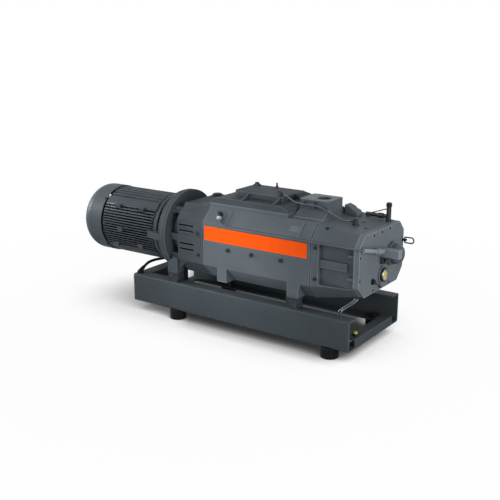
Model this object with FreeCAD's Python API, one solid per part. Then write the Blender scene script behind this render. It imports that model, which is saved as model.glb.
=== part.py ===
"""Dry screw vacuum pump with flange motor on a channel-section base frame.

Millimetres. X runs along the shafts, from the motor's fan end (-X) to the oil
sight glass (+X). The front is -Y and Z is up. The sizes below count from the
middle of the base at the underside of its beams. Each piece is then moved so
that the origin is on the floor, under the middle of the whole machine. The motor
and the drive screw share one axis, and the driven screw lies beside it, behind.
"""
import FreeCAD
import Part
import os
from math import acos, cos, pi, radians, sin, sqrt, tan

V = FreeCAD.Vector

# Clearances
running_gap = 0.06            # radial, between a shaft and the hole it turns in
seat_gap = 0.03               # radial, between pieces that are pressed or slid together
free_gap = 0.3                # between curved faces that must never touch
bolt_gap = 0.5                # radial, around the shank of a bolt

# Base frame
base_length = 1132.0
base_width = 448.0
beam_height = 130.0
beam_flange = 57.0
beam_wall = 6.0
beam_bend = 12.0
cross_depth = 60.0
low_cross_height = 40.0
low_cross_depth = 44.0
earth_stud_radius = 5.0
earth_y = -128.0

# Feet and vibration mounts
foot_radius = 37.0
foot_height = 45.0
foot_front_x = 467.0
foot_back_x = -325.0
mount_length = 54.0
mount_width = 50.0
mount_height = 45.0
mount_pump_x = 293.0
mount_lantern_x = -336.0
mount_y = 191.0
stud_radius = 8.0
nut_across_flats = 24.0
nut_height = 13.0

# Shaft line and screws
shaft_z = 340.0
shaft_spacing = 130.0
rotor_tip_radius = 94.0
rotor_end_gap = 0.5
screw_turns = 6
screw_sector_count = 16       # flat strips round one turn
screw_crest_count = 7         # strips taken by the crest, less than half for side clearance
screw_lead_in_deg = 12.0
journal_radius = 30.0

# Pump section, an octagon that the castings share
body_half_width = 207.0
body_top_z = 487.0
body_bottom_z = 172.0
top_chamfer = 57.0
low_chamfer = 66.0

# Places along the shaft line
lantern_start_x = -372.0
lantern_flange_x1 = -349.0
lantern_box_x = -306.0
cylinder_start_x = -170.0
cylinder_end_x = 372.0
bearing_housing_end_x = 565.0
end_plate_thickness = 22.0

# Motor
motor_fin_radius = 155.0
motor_core_radius = 137.0
motor_bore_radius = 124.0
motor_frame_x0 = -757.0
motor_frame_x1 = -450.0
motor_flange_radius = 179.0
motor_flange_thickness = 20.0
motor_spigot_radius = 125.0
shield_collar_x = -434.0      # the raised collar between the frame and the bolt groove
shield_collar_width = 15.0
shield_collar_radius = 160.0
shield_groove_radius = 135.0
shield_inner_radius = 118.0
ear_top_z = 352.0
ear_height = 31.0
ear_reach = 185.0
ear_tip_reach = 170.0
ear_tip_x = -463.0
fin_pitch = 12.0
fin_gap = 7.4
top_fin_pitch = 17.0
top_fin_gap = 10.0
cowl_radius = 158.0
cowl_wall = 2.5
cowl_rim_x = -766.0
cowl_end_x = -901.0
cowl_round = 62.0
motor_shaft_radius = 21.0
motor_bearing_seat_radius = 22.5
motor_bearing_radius = 50.0
motor_bearing_width = 25.0
stator_length = 190.0
stator_bore_radius = 78.0
air_gap = 0.7
flange_bolt_radius = 8.0
flange_bolt_circle = 150.0
flange_bolt_count = 4
cowl_arm_reach = 14.0
cowl_screw_angles = (45.0, 135.0, 225.0, 315.0)
fan_seat_radius = 19.0
fan_x0 = -834.0
fan_width = 44.0
fan_radius = 128.0
rotor_core_bore = 27.0

# Terminal box and supply cable
terminal_x0, terminal_x1 = -660.0, -500.0
terminal_z0, terminal_z1 = 280.0, 400.0
terminal_depth = 62.0
terminal_wall = 5.0
terminal_lid_thickness = 12.0
gland_thread_radius = 10.0
gland_x = -546.0
cable_radius = 6.5
cable_entry_x = -550.0
cable_entry_y = -194.0
cable_entry_radius = 11.0
cable_entry_length = 26.0

# Coupling
coupling_gap_x = -290.0       # middle of the coupling
hub_length = 46.0
spider_width = 20.0
jaw_count = 3
coupling_radius = 52.0
jaw_spread = 38.0
spider_core_radius = 24.0
pump_end_radius = 22.0

# Lantern between motor and pump
lantern_flange_radius = 185.0
lantern_band_x1 = -182.0      # a flat band stands proud between the two pairs of vents
lantern_band_rise = 2.5
lantern_wall = 16.0
lantern_neck_radius = 118.0
lantern_rear_y = 142.0
bearing_wall = 42.0
vent_length = 81.0
vent_height = 8.0
vent_offsets = (60.0, 35.0, -23.0, -48.0)
lantern_bolt_places = ((-193.0, 371.0), (-193.0, 276.0))
inspection_x, inspection_y = -280.0, 50.0

# Pump bearings, seals and gears
pump_bearing_radius = 55.0
pump_bearing_width = 22.0
seal_radius = 44.0
seal_width = 14.0
gear_teeth = 26
gear_width = 40.0
gear_bore_radius = 27.0
gear_backlash_deg = 0.9

# Legs under the pump body
leg_depth = 57.0
leg_bottom_z = beam_height + mount_height
left_leg = (-90.0, -42.0)
right_leg = (266.0, 320.0)

# Jacket plugs and temperature sensor, which sits square on the front upper chamfer
plug_places = ((-30.0, 323.0), (92.0, 323.0), (238.0, 323.0))
sensor_x = -91.0
sensor_stem_radius = 6.0
sensor_plug_length = 30.0

# Cover and ports on top
cover_pad_height = 16.0
cover_x0, cover_x1 = -166.0, 226.0
cover_half = 147.0
cover_ledge_rise = 44.0
cover_top_rise = 70.0
hump_x0, hump_x1 = -88.0, 166.0
hump_front_y, hump_rear_y = -92.0, 80.0
ramp_foot_x = -254.0
ramp_rear_y = 85.0
inlet_centre_x = 300.0
inlet_length = 137.0
inlet_depth = 122.0
inlet_base_rise = 30.0
inlet_top_rise = 69.0
inlet_bore_x = 316.0
inlet_bore_radius = 31.5
exhaust_x = -105.0
exhaust_z = 300.0
exhaust_bore_radius = 26.0
exhaust_flange_radius = 60.0
exhaust_reach = 46.0
port_step = 2.0                # the body's ports are this much wider than the bores on them
gusset_x0, gusset_x1 = -7.0, 150.0
cover_plug_x, cover_plug_y = -66.0, 62.0
cover_stud_x, cover_stud_y = 34.0, 70.0
union_x, union_y = 142.0, -72.0
inlet_pattern = 94.0
inlet_screw_length = 6.0
inlet_screw_places = ((262.0, 540.0), (310.0, 545.0), (310.0, 526.0))

# Bearing housing, with pockets in its sides
pocket_lip = 4.0
pocket_z0, pocket_z1 = 250.0, 417.0
housing_rib_x1 = 530.0
housing_rib_z0, housing_rib_z1 = 321.0, 353.0
housing_bolt_places = ((396.0, 401.0), (396.0, 273.0))
top_screw_places = ((490.0, 21.0), (537.0, -54.0))
top_screw_head = 5.5
top_screw_sink = 2.0
chamfer_screw_x = 421.0
chamfer_screw_y = -158.0
chamfer_screw_head = 7.0
chamfer_screw_sink = 4.0

# End plate face
end_side_step = 10.0          # how far the end plate stands inside the pump section
end_top_step = 21.0
end_bottom_step = 41.0
end_top_chamfer = 43.0
end_low_chamfer = 50.0
sight_y, sight_z = 6.0, 272.5
sight_radius = 30.0
sight_glass_radius = 20.0
end_bolt_places = ((-76.0, 451.0), (-6.0, 452.0), (66.0, 452.0), (-186.0, 384.0),
                   (-186.0, 291.0), (-70.0, 224.0), (71.0, 224.0), (183.0, 300.0))
end_bolt_sink = 8.0
end_bolt_lug = 9.0            # round lugs carry the side screws where the pockets are
end_bolt_head = 6.3
oil_plug_places = ((-78.0, 263.0),)
level_line_radius = 3.0
level_line_seat = 6.0
block_y0, block_y1 = -20.0, 10.0
block_z0, block_z1 = 354.0, 387.0
block_reach = 82.0

# Purge gas parts on the bearing housing
rear_ramp = (378.0, 440.0)
rear_ramp_y = (58.0, 104.0)
regulator_x, regulator_y = 552.0, 118.0
regulator_radius = 10.0
regulator_foot_radius = 12.0
regulator_arm_z = 487.0
regulator_arm_radius = 8.0
regulator_leg_x = 456.0
regulator_leg_radius = 6.0
bypass_radius = 2.2
bypass_top_z = 521.0
fitting_x, fitting_y = 486.0, -46.0
gas_line_z = 490.0
gas_line_radius = 3.0

# Drain tubes, sensor line, coolant sleeve and shut-off valve
drain_radius = 4.0
conduit_radius = 3.5
conduit_z = 424.0
sleeve_radius = 8.5
valve_body_radius = 6.0
valve_reach = 17.0
handle_radius = 3.0
handle_reach = 41.0
handle_end_gap = 1.5

# Grooves where the castings meet
lantern_joint_width = 3.0
lantern_joint_depth = 4.0
housing_joint_width = 4.5
housing_joint_depth = 5.0

# Values worked out from the driving dimensions
drive_y = -shaft_spacing / 2
driven_y = shaft_spacing / 2
rotor_bore_radius = rotor_tip_radius + free_gap
rotor_root_radius = shaft_spacing - rotor_bore_radius - free_gap
end_plate_x1 = bearing_housing_end_x + end_plate_thickness
motor_flange_x1 = lantern_start_x
motor_flange_x0 = motor_flange_x1 - motor_flange_thickness
half_length = base_length / 2
half_width = base_width / 2
cover_base_z = body_top_z + cover_pad_height
cover_ledge_z = body_top_z + cover_ledge_rise
cover_top_z = body_top_z + cover_top_rise
inlet_base_z = body_top_z + inlet_base_rise
inlet_top_z = body_top_z + inlet_top_rise
end_half_width = body_half_width - end_side_step
end_top_z = body_top_z - end_top_step
end_bottom_z = body_bottom_z + end_bottom_step

# Base frame and motor, worked out
foot_y = half_width - beam_flange / 2
cross_half = half_width - beam_flange
earth_x = half_length - low_cross_depth / 2
terminal_y0 = drive_y + motor_fin_radius + 6
terminal_screw_x = (terminal_x0 + 10, terminal_x1 - 10)
terminal_screw_z = (terminal_z0 + 10 - shaft_z, terminal_z1 - 10 - shaft_z)
cowl_screw_x = motor_frame_x0 - 17.0
stator_x0 = (motor_frame_x0 + motor_frame_x1 - stator_length) / 2
stator_x1 = stator_x0 + stator_length
rotor_core_radius = stator_bore_radius - air_gap

# Coupling, worked out
hub_motor_x0 = coupling_gap_x - spider_width / 2 - hub_length
hub_pump_x1 = coupling_gap_x + spider_width / 2 + hub_length

# Supply cable, worked out
gland_y = terminal_y0 + 34.0
cable_entry_run = V(0, 0.88, 0.47).normalize()
cable_start_z = terminal_z0 - 30.0
cable_entry_foot = V(cable_entry_x, cable_entry_y, beam_height + 9)
cable_end = cable_entry_foot + cable_entry_run * cable_entry_length
motor_cable_route = [V(gland_x, gland_y, cable_start_z), V(gland_x, gland_y, 222),
                     V(-545, gland_y - 22, 183), V(-541, 62, 165), V(-543, 14, 161),
                     V(-545, -34, 162), V(-547, -78, 167.5), V(-549, -115, 168.5),
                     cable_end + cable_entry_run * 28, cable_end]

# Pump, worked out
exhaust_face_y = body_half_width + 14.0
chamfer_normal = V(0, -sin(radians(45)), cos(radians(45)))
sensor_y = -body_half_width + 31.0
sensor_z = body_top_z - top_chamfer + 31.0
sensor_plug_direction = V(0.45, -0.55, -0.70).normalize()
sensor_plug_end = (V(sensor_x, sensor_y, sensor_z) + chamfer_normal * 19
                   + sensor_plug_direction * sensor_plug_length)
screw_x0 = cylinder_start_x + rotor_end_gap
screw_x1 = cylinder_end_x - rotor_end_gap
bearing_drive_x0 = cylinder_start_x - bearing_wall
bearing_gear_x0 = cylinder_end_x + seal_width + 9.0
bearing_gear_width = 2 * pump_bearing_width
gear_x0 = bearing_gear_x0 + bearing_gear_width + 16.0
pocket_x0 = cylinder_end_x + 37.0
pocket_y = body_half_width - 23.0
housing_spot_y = body_half_width - 2.0
cover_bolt_seat_z = cover_base_z + 12.0
cover_bolt_places = tuple((x, side * (cover_half - 12)) for side in (-1, 1)
                          for x in (-148.0, -60.0, 70.0, 200.0))

# End plate face, worked out
sight_face_x = end_plate_x1 + 6.0
level_line_out = end_plate_x1 + 8.0
level_line_in = end_plate_x1 - level_line_seat
level_line_route = [V(level_line_in, -52, 253), V(level_line_out, -52, 253),
                    V(level_line_out, -28, 238), V(level_line_out, -14, 222),
                    V(level_line_in, -14, 222)]

# Purge gas line, worked out
gas_line_start = V(union_x + 17, union_y - 4, 566)
gas_line_end = V(fitting_x - 17, fitting_y - 9, gas_line_z)
gas_line_route = [gas_line_start, V(182, union_y - 9, 562), V(206, -85, 549), V(226, -81, 540),
                  V(258, -76, 537), V(300, -75, 537.5), V(338, -74, 534), V(372, -73, 520),
                  V(406, -71, 507), V(434, -68, 493.5), V(455, -63, 489), gas_line_end]

# Sensor line, coolant sleeve and valve, worked out
conduit_y = -body_half_width - 6.0
sleeve_x = end_plate_x1 + 13.0
sleeve_start = V(sleeve_x, 9 - end_half_width, 418)
sleeve_end = V(sleeve_x, block_y0 - 12, 378)
sleeve_run = (sleeve_end - sleeve_start).normalize()
conduit_route = [sensor_plug_end, sensor_plug_end + sensor_plug_direction * 13,
                 V(-44, conduit_y - 1, 427), V(-14, conduit_y, conduit_z),
                 V(16, conduit_y, conduit_z - 0.5), V(552, conduit_y, conduit_z),
                 V(586, conduit_y, conduit_z + 0.5), sleeve_start - sleeve_run * 15, sleeve_start]
valve_y, valve_z = end_half_width - 7.0, 379.0
handle_pin_x = end_plate_x1 + 9.0
handle_half_height = valve_body_radius + handle_radius + 3.0


def box(x0, x1, y0, y1, z0, z1):
    return Part.makeBox(x1 - x0, y1 - y0, z1 - z0, V(x0, y0, z0))


def rod_x(radius, x0, x1, y, z):
    return Part.makeCylinder(radius, x1 - x0, V(x0, y, z), V(1, 0, 0))


def rod_y(radius, y0, y1, x, z):
    return Part.makeCylinder(radius, y1 - y0, V(x, y0, z), V(0, 1, 0))


def rod_z(radius, z0, z1, x, y):
    return Part.makeCylinder(radius, z1 - z0, V(x, y, z0), V(0, 0, 1))


def ring_x(outer, inner, x0, x1, y, z):
    return rod_x(outer, x0, x1, y, z).cut(rod_x(inner, x0 - 1, x1 + 1, y, z))


def polygon_face(points):
    return Part.Face(Part.makePolygon(points + [points[0]]))


def prism_x(outline, x0, x1):
    """Push a (y, z) outline from x0 to x1."""
    return polygon_face([V(x0, y, z) for y, z in outline]).extrude(V(x1 - x0, 0, 0))


def prism_y(outline, y0, y1):
    """Push an (x, z) outline from y0 to y1."""
    return polygon_face([V(x, y0, z) for x, z in outline]).extrude(V(0, y1 - y0, 0))


def turned_x(outline, y, z):
    """Turn an (x, radius) outline about the line through (y, z) along X."""
    face = polygon_face([V(x, y, z + radius) for x, radius in outline])
    return face.revolve(V(0, y, z), V(1, 0, 0), 360)


def turned_z(outline, x, y):
    """Turn a (radius, z) outline about the vertical line through (x, y)."""
    face = polygon_face([V(x + radius, y, z) for radius, z in outline])
    return face.revolve(V(x, y, 0), V(0, 0, 1), 360)


def hexagon(across_flats, length, place, direction):
    """A hexagonal bar that starts at a place and runs in a direction."""
    corner = across_flats / 2 / cos(pi / 6)
    points = [V(corner * cos(k * pi / 3), corner * sin(k * pi / 3), 0) for k in range(6)]
    bar = polygon_face(points).extrude(V(0, 0, length))
    bar.Placement = FreeCAD.Placement(place, FreeCAD.Rotation(V(0, 0, 1), direction))
    return bar


def octagon(half, top, bottom, upper_cut, lower_cut, inset=0.0):
    """The (y, z) outline of a section with four cut corners, drawn inside by an inset."""
    half, top, bottom = half - inset, top - inset, bottom + inset
    upper_cut -= inset * (2 - sqrt(2))
    lower_cut -= inset * (2 - sqrt(2))
    return [(-half, bottom + lower_cut), (-half, top - upper_cut), (-half + upper_cut, top),
            (half - upper_cut, top), (half, top - upper_cut), (half, bottom + lower_cut),
            (half - lower_cut, bottom), (-half + lower_cut, bottom)]


def joined(shapes):
    return shapes[0].fuse(shapes[1:]).removeSplitter()


def joint_groove(x0, width, depth):
    """What a groove takes away all round the pump section."""
    around = octagon(body_half_width, body_top_z, body_bottom_z, top_chamfer, low_chamfer, -1)
    inside = octagon(body_half_width, body_top_z, body_bottom_z, top_chamfer, low_chamfer, depth)
    return prism_x(around, x0, x0 + width).cut(prism_x(inside, x0 - 1, x0 + width + 1))


def arc_route(name, points):
    """Straight runs joined by tangent arcs, as large as the two runs at each point allow."""
    edges = []
    radii = []
    start = points[0]
    for before, corner, after in zip(points, points[1:], points[2:]):
        run_in = (before - corner).normalize()
        run_out = (after - corner).normalize()
        turn = pi - run_in.getAngle(run_out)
        setback = 0.45 * min((before - corner).Length, (after - corner).Length)
        radius = setback / tan(turn / 2)
        entry = corner + run_in * setback
        leave = corner + run_out * setback
        middle = (run_in + run_out).normalize() * (radius / cos(turn / 2) - radius)
        edges.append(Part.LineSegment(start, entry).toShape())
        edges.append(Part.Arc(entry, corner + middle, leave).toShape())
        radii.append(round(radius))
        start = leave
    edges.append(Part.LineSegment(start, points[-1]).toShape())
    print(name, "bend radii in mm:", radii)
    return Part.Wire(edges)


def tube_along(name, points, radius):
    """A round tube along the arc route of its points."""
    route = arc_route(name, points)
    section = Part.Wire(Part.makeCircle(radius, points[0], points[1] - points[0]))
    tube = route.makePipeShell([section], True, False)
    print(name, "length", round(route.Length), "mm, volume over section x length:",
          round(tube.Volume / (pi * radius ** 2 * route.Length), 4))
    return tube


def housing_slope(x):
    """Height of the bearing housing's sloping top at a place along it."""
    run = (x - cylinder_end_x) / (bearing_housing_end_x - cylinder_end_x)
    return body_top_z + run * (end_top_z - body_top_z)


body_section = octagon(body_half_width, body_top_z, body_bottom_z, top_chamfer, low_chamfer)
end_section = octagon(end_half_width, end_top_z, end_bottom_z, end_top_chamfer, end_low_chamfer)
regulator_seat_z = housing_slope(regulator_x) - 5.0
regulator_leg_z = housing_slope(regulator_leg_x) - 6.0
gas_seat_z = housing_slope(fitting_x) - 4.0


# Base frame

def base_beam(side):
    """A bent channel with its web outside; side is -1 at the front and 1 at the back."""
    outer = half_width
    inner = half_width - beam_flange
    outline = [(inner, 0), (outer, 0), (outer, beam_height), (inner, beam_height),
               (inner, beam_height - beam_wall), (outer - beam_wall, beam_height - beam_wall),
               (outer - beam_wall, beam_wall), (inner, beam_wall)]
    beam = prism_x([(side * y, z) for y, z in outline], -half_length, half_length)
    bends = [edge for edge in beam.Edges
             if edge.Length > base_length - 1
             and abs(abs(edge.CenterOfMass.y) - outer) < 0.1]
    beam = beam.makeFillet(beam_bend - beam_wall / 2, bends)
    holes = [rod_z(stud_radius + bolt_gap, -1, beam_wall + 1, x, side * foot_y)
             for x in (foot_back_x, foot_front_x)]
    holes += [rod_z(stud_radius + bolt_gap, beam_height - beam_wall - 1, beam_height + 1,
                    x, side * mount_y) for x in (mount_lantern_x, mount_pump_x)]
    if side < 0:
        holes.append(rod_z(cable_entry_radius + bolt_gap, beam_height - beam_wall - 1,
                           beam_height + 1, cable_entry_x, cable_entry_y))
    return beam.cut(holes)


def base_cross_left():
    """Full-height channel that closes the motor end."""
    end = -half_length
    outline = [(end, 0), (end + cross_depth, 0), (end + cross_depth, beam_wall),
               (end + beam_wall, beam_wall), (end + beam_wall, beam_height - beam_wall),
               (end + cross_depth, beam_height - beam_wall), (end + cross_depth, beam_height),
               (end, beam_height)]
    return prism_y(outline, -cross_half, cross_half)


def base_cross_right():
    """Low bent bar across the open end."""
    end = half_length
    outline = [(end, 0), (end - low_cross_depth, 0), (end - low_cross_depth, beam_wall),
               (end - beam_wall, beam_wall), (end - beam_wall, low_cross_height - beam_wall),
               (end - low_cross_depth, low_cross_height - beam_wall),
               (end - low_cross_depth, low_cross_height), (end, low_cross_height)]
    bar = prism_y(outline, -cross_half, cross_half)
    return bar.cut(rod_z(earth_stud_radius + bolt_gap, low_cross_height - beam_wall - 1,
                         low_cross_height + 1, earth_x, earth_y))


def machine_feet():
    """Ribbed rubber pucks under the beams."""
    rib = 2.5
    outline = [(0, 0), (foot_radius - rib, 0), (foot_radius, -rib)]
    bands = 3
    step = (foot_height - 2 * rib) / bands
    for k in range(bands):
        top = -rib - k * step
        outline += [(foot_radius, top - 0.6 * step), (foot_radius - rib, top - 0.7 * step),
                    (foot_radius - rib, top - 0.9 * step), (foot_radius, top - step)]
    outline += [(foot_radius - rib, -foot_height), (0, -foot_height)]
    return Part.makeCompound([turned_z(outline, x, side * foot_y)
                              for x in (foot_back_x, foot_front_x) for side in (-1, 1)])


def vibration_mounts():
    """Square rubber blocks between steel plates, under the pump's four feet."""
    plate = 5.0
    inset = 2.0
    blocks = []
    for x in (mount_lantern_x, mount_pump_x):
        for side in (-1, 1):
            parts = []
            for z0, z1, cut in ((beam_height, beam_height + plate, 0),
                                (beam_height + plate, leg_bottom_z - plate, inset),
                                (leg_bottom_z - plate, leg_bottom_z, 0)):
                half_x, half_y = mount_length / 2 - cut, mount_width / 2 - cut
                parts.append(box(x - half_x, x + half_x, side * mount_y - half_y,
                                 side * mount_y + half_y, z0, z1))
            blocks.append(joined(parts))
    return Part.makeCompound(blocks)


def mounting_studs():
    """Studs and nuts of the feet and the vibration mounts, and the earth bolt."""
    studs = []
    under = beam_height - beam_wall
    for side in (-1, 1):
        for x in (foot_back_x, foot_front_x):
            shank = rod_z(stud_radius, 0, beam_wall + nut_height + 8, x, side * foot_y)
            nut = hexagon(nut_across_flats, nut_height, V(x, side * foot_y, beam_wall),
                          V(0, 0, 1))
            studs.append(joined([shank, nut]))
        for x in (mount_lantern_x, mount_pump_x):
            shank = rod_z(stud_radius, under - nut_height - 8, beam_height, x, side * mount_y)
            nut = hexagon(nut_across_flats, nut_height, V(x, side * mount_y, under),
                          V(0, 0, -1))
            studs.append(joined([shank, nut]))
    top = low_cross_height
    earth = joined([rod_z(earth_stud_radius, top - 18, top + 16, earth_x, earth_y),
                    rod_z(12, top, top + 2, earth_x, earth_y),
                    hexagon(17, 8, V(earth_x, earth_y, top + 2), V(0, 0, 1)),
                    hexagon(17, 6, V(earth_x, earth_y, top - beam_wall), V(0, 0, -1))])
    return Part.makeCompound(studs + [earth])


# Motor

def motor_frame():
    """Cast frame with level fins at its sides, upright fins above and below, and pads."""
    y, z = drive_y, shaft_z
    frame = ring_x(motor_fin_radius, motor_bore_radius, motor_frame_x0, motor_frame_x1, y, z)
    slots = []
    reach = motor_fin_radius + 2
    side_count = 8
    for k in range(side_count):
        low = (k + 0.5) * fin_pitch - fin_gap / 2
        depth = sqrt(motor_core_radius ** 2 - low ** 2)
        for up in (1, -1):
            z0, z1 = sorted((z + up * low, z + up * (low + fin_gap)))
            slots.append(box(motor_frame_x0 - 1, motor_frame_x1 + 1, y - reach, y - depth, z0, z1))
            slots.append(box(motor_frame_x0 - 1, motor_frame_x1 + 1, y + depth, y + reach, z0, z1))
    top_count = 5
    for k in range(-top_count, top_count + 1):
        near = max(abs(k) * top_fin_pitch - top_fin_gap / 2, 0)
        depth = sqrt(motor_core_radius ** 2 - near ** 2)
        y0 = y + k * top_fin_pitch - top_fin_gap / 2
        slots.append(box(motor_frame_x0 - 1, motor_frame_x1 + 1, y0, y0 + top_fin_gap,
                         z + depth, z + reach))
        slots.append(box(motor_frame_x0 - 1, motor_frame_x1 + 1, y0, y0 + top_fin_gap,
                         z - reach, z - depth))
    frame = frame.cut(slots)
    pads = []
    pad_rise = 5.0
    pad_length, pad_height = 30.0, 17.0
    for x, up in ((-690, 92), (-545, 94), (-657, -9), (-710, -92), (-556, -82)):
        face = sqrt(motor_fin_radius ** 2 - min(abs(up), 85) ** 2)
        for side in (-1, 1):
            y0, y1 = sorted((y + side * (face - 26), y + side * (face + pad_rise)))
            pads.append(box(x, x + pad_length, y0, y1, z + up - pad_height / 2,
                            z + up + pad_height / 2))
    frame = frame.fuse(pads)
    holes = [rod_y(2.6, y + motor_fin_radius - 6, y + motor_fin_radius + 20, x, z + up)
             for x in terminal_screw_x for up in terminal_screw_z]
    seat = box(terminal_x0, terminal_x1, y + motor_core_radius - 8, terminal_y0,
               terminal_z0, terminal_z1)
    wires = rod_y(18, y, terminal_y0 + 1, (terminal_x0 + terminal_x1) / 2, z)
    bore = rod_x(motor_bore_radius, motor_frame_x0 - 1, motor_frame_x1 + 1, y, z)
    return frame.fuse(seat).cut(bore).cut(holes + [wires]).removeSplitter()


def motor_end_shield_drive():
    """Flange end shield: bearing hub, web, mounting flange, spigot and two ears."""
    x1 = motor_flange_x1
    x0 = motor_flange_x0
    bearing_x1 = x1 - 6
    bearing_x0 = bearing_x1 - motor_bearing_width
    hub = motor_bearing_radius + 14
    pocket = motor_bearing_radius + seat_gap
    shaft_hole = motor_shaft_radius + 1.5
    collar_x1 = shield_collar_x + shield_collar_width
    outline = [(bearing_x0 - 4, pocket), (bearing_x0 - 4, hub), (x0 + 4, hub),
               (x0 + 4, shield_inner_radius), (motor_frame_x1 - 6, shield_inner_radius),
               (motor_frame_x1 - 6, motor_bore_radius - seat_gap),
               (motor_frame_x1, motor_bore_radius - seat_gap),
               (motor_frame_x1, motor_fin_radius - 5), (shield_collar_x, motor_fin_radius - 5),
               (shield_collar_x, shield_collar_radius), (collar_x1, shield_collar_radius),
               (collar_x1, shield_groove_radius), (x0, shield_groove_radius),
               (x0, motor_flange_radius), (x1, motor_flange_radius),
               (x1, motor_spigot_radius - seat_gap),
               (x1 + 5, motor_spigot_radius - seat_gap), (x1 + 5, shaft_hole),
               (bearing_x1, shaft_hole), (bearing_x1, pocket)]
    shield = turned_x(outline, drive_y, shaft_z)
    ears = []
    for side in (-1, 1):
        root = shield_collar_radius - 6
        outline = [(ear_tip_x, ear_tip_reach), (x0, ear_reach), (x1, ear_reach), (x1, root),
                   (shield_collar_x, root)]
        face = polygon_face([V(x, drive_y + side * out, ear_top_z) for x, out in outline])
        ears.append(face.extrude(V(0, 0, -ear_height)))
    holes = [rod_x(flange_bolt_radius + bolt_gap, x0 - 1, x1 + 1, y, z)
             for y, z in flange_bolt_places()]
    return joined([shield] + ears).cut(holes)


def flange_bolt_places():
    """The (y, z) places of the bolts through the motor flange."""
    step = 2 * pi / flange_bolt_count
    return [(drive_y + flange_bolt_circle * cos((k + 0.5) * step),
             shaft_z + flange_bolt_circle * sin((k + 0.5) * step))
            for k in range(flange_bolt_count)]


def motor_flange_bolts():
    """Studs and nuts that hold the motor to the lantern."""
    studs = []
    for y, z in flange_bolt_places():
        nut = hexagon(nut_across_flats, nut_height, V(motor_flange_x0, y, z), V(-1, 0, 0))
        shank = rod_x(flange_bolt_radius, motor_flange_x0 - nut_height - 4,
                      lantern_flange_x1 - 4, y, z)
        studs.append(joined([nut, shank]))
    return Part.makeCompound(studs)


def motor_end_shield_fan():
    """Rear end shield with its bearing hub and the arms that hold the cowl."""
    x1 = motor_frame_x0
    x0 = x1 - 12
    bearing_x0 = x0 + 6
    hub = motor_bearing_radius + 12
    pocket = motor_bearing_radius + seat_gap
    outline = [(x0, motor_bearing_seat_radius + 1.5), (x0, motor_core_radius),
               (x1, motor_core_radius), (x1, motor_bore_radius - seat_gap),
               (x1 + 6, motor_bore_radius - seat_gap), (x1 + 6, hub),
               (bearing_x0 + motor_bearing_width, hub),
               (bearing_x0 + motor_bearing_width, pocket), (bearing_x0, pocket),
               (bearing_x0, motor_bearing_seat_radius + 1.5)]
    shield = turned_x(outline, drive_y, shaft_z)
    arms = []
    for place in cowl_screw_angles:
        arm = box(x0 - cowl_arm_reach, x0 + 6, -9, 9, motor_core_radius - 20,
                  cowl_radius - cowl_wall - free_gap)
        arm = arm.cut(rod_z(3, cowl_radius - 18, cowl_radius, cowl_screw_x, 0))
        arm.rotate(V(0, 0, 0), V(1, 0, 0), place)
        arm.translate(V(0, drive_y, shaft_z))
        arms.append(arm)
    return joined([shield] + arms)


def fan_cowl():
    """Pressed cowl with a round shoulder and rings of air slots in its end."""
    y, z = drive_y, shaft_z
    outer = rod_x(cowl_radius, cowl_end_x, cowl_rim_x, y, z)
    outer = outer.makeFillet(cowl_round, [edge for edge in outer.Edges
                                          if abs(edge.CenterOfMass.x - cowl_end_x) < 0.1
                                          and edge.Length > 2 * pi * cowl_radius - 1])
    inner = rod_x(cowl_radius - cowl_wall, cowl_end_x + cowl_wall, cowl_rim_x, y, z)
    inner = inner.makeFillet(cowl_round - cowl_wall,
                             [edge for edge in inner.Edges
                              if abs(edge.CenterOfMass.x - cowl_end_x - cowl_wall) < 0.1
                              and edge.Length > 2 * pi * (cowl_radius - cowl_wall) - 1])
    cowl = outer.cut(inner)
    slots = []
    for inner_r, outer_r, count in ((30, 62, 8), (70, 104, 12)):
        for k in range(count):
            slot = box(cowl_end_x - 1, cowl_end_x + cowl_wall + 1, -7, 7, inner_r, outer_r)
            slot.rotate(V(0, 0, 0), V(1, 0, 0), 360 * k / count)
            slot.translate(V(0, y, z))
            slots.append(slot)
    holes = []
    for place in cowl_screw_angles:
        hole = rod_z(3.3, cowl_radius - 8, cowl_radius + 4, cowl_screw_x, 0)
        hole.rotate(V(0, 0, 0), V(1, 0, 0), place)
        hole.translate(V(0, y, z))
        holes.append(hole)
    return cowl.cut(slots + holes)


def motor_screws():
    """Screws of the fan cowl and of the terminal box lid."""
    screws = []
    for place in cowl_screw_angles:
        shank = rod_z(2.6, cowl_radius - 15, cowl_radius + 0.4, cowl_screw_x, 0)
        head = rod_z(6, cowl_radius + 0.4, cowl_radius + 3.6, cowl_screw_x, 0)
        screw = joined([shank, head])
        screw.rotate(V(0, 0, 0), V(1, 0, 0), place)
        screw.translate(V(0, drive_y, shaft_z))
        screws.append(screw)
    lid_y = terminal_y0 + terminal_depth + terminal_lid_thickness
    for x in terminal_screw_x:
        for up in terminal_screw_z:
            screws.append(joined([rod_y(2.5, terminal_y0 - 5, lid_y, x, shaft_z + up),
                                  rod_y(5, lid_y, lid_y + 3.5, x, shaft_z + up)]))
    return Part.makeCompound(screws)


def cooling_fan():
    """Straight-bladed fan on the motor shaft, for either direction of rotation."""
    y, z = drive_y, shaft_z
    hub_radius = 44.0
    blades = 8
    bore = fan_seat_radius + seat_gap
    hub = rod_x(hub_radius, fan_x0, fan_x0 + fan_width, y, z)
    disc = rod_x(fan_radius, fan_x0 + fan_width - 4, fan_x0 + fan_width, y, z)
    vanes = []
    for k in range(blades):
        vane = box(fan_x0, fan_x0 + fan_width, -2, 2, hub_radius - 2, fan_radius)
        vane.rotate(V(0, 0, 0), V(1, 0, 0), 360 * k / blades)
        vane.translate(V(0, y, z))
        vanes.append(vane)
    fan = joined([hub, disc] + vanes)
    return fan.cut(rod_x(bore, fan_x0 - 1, fan_x0 + fan_width + 1, y, z))


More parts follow.
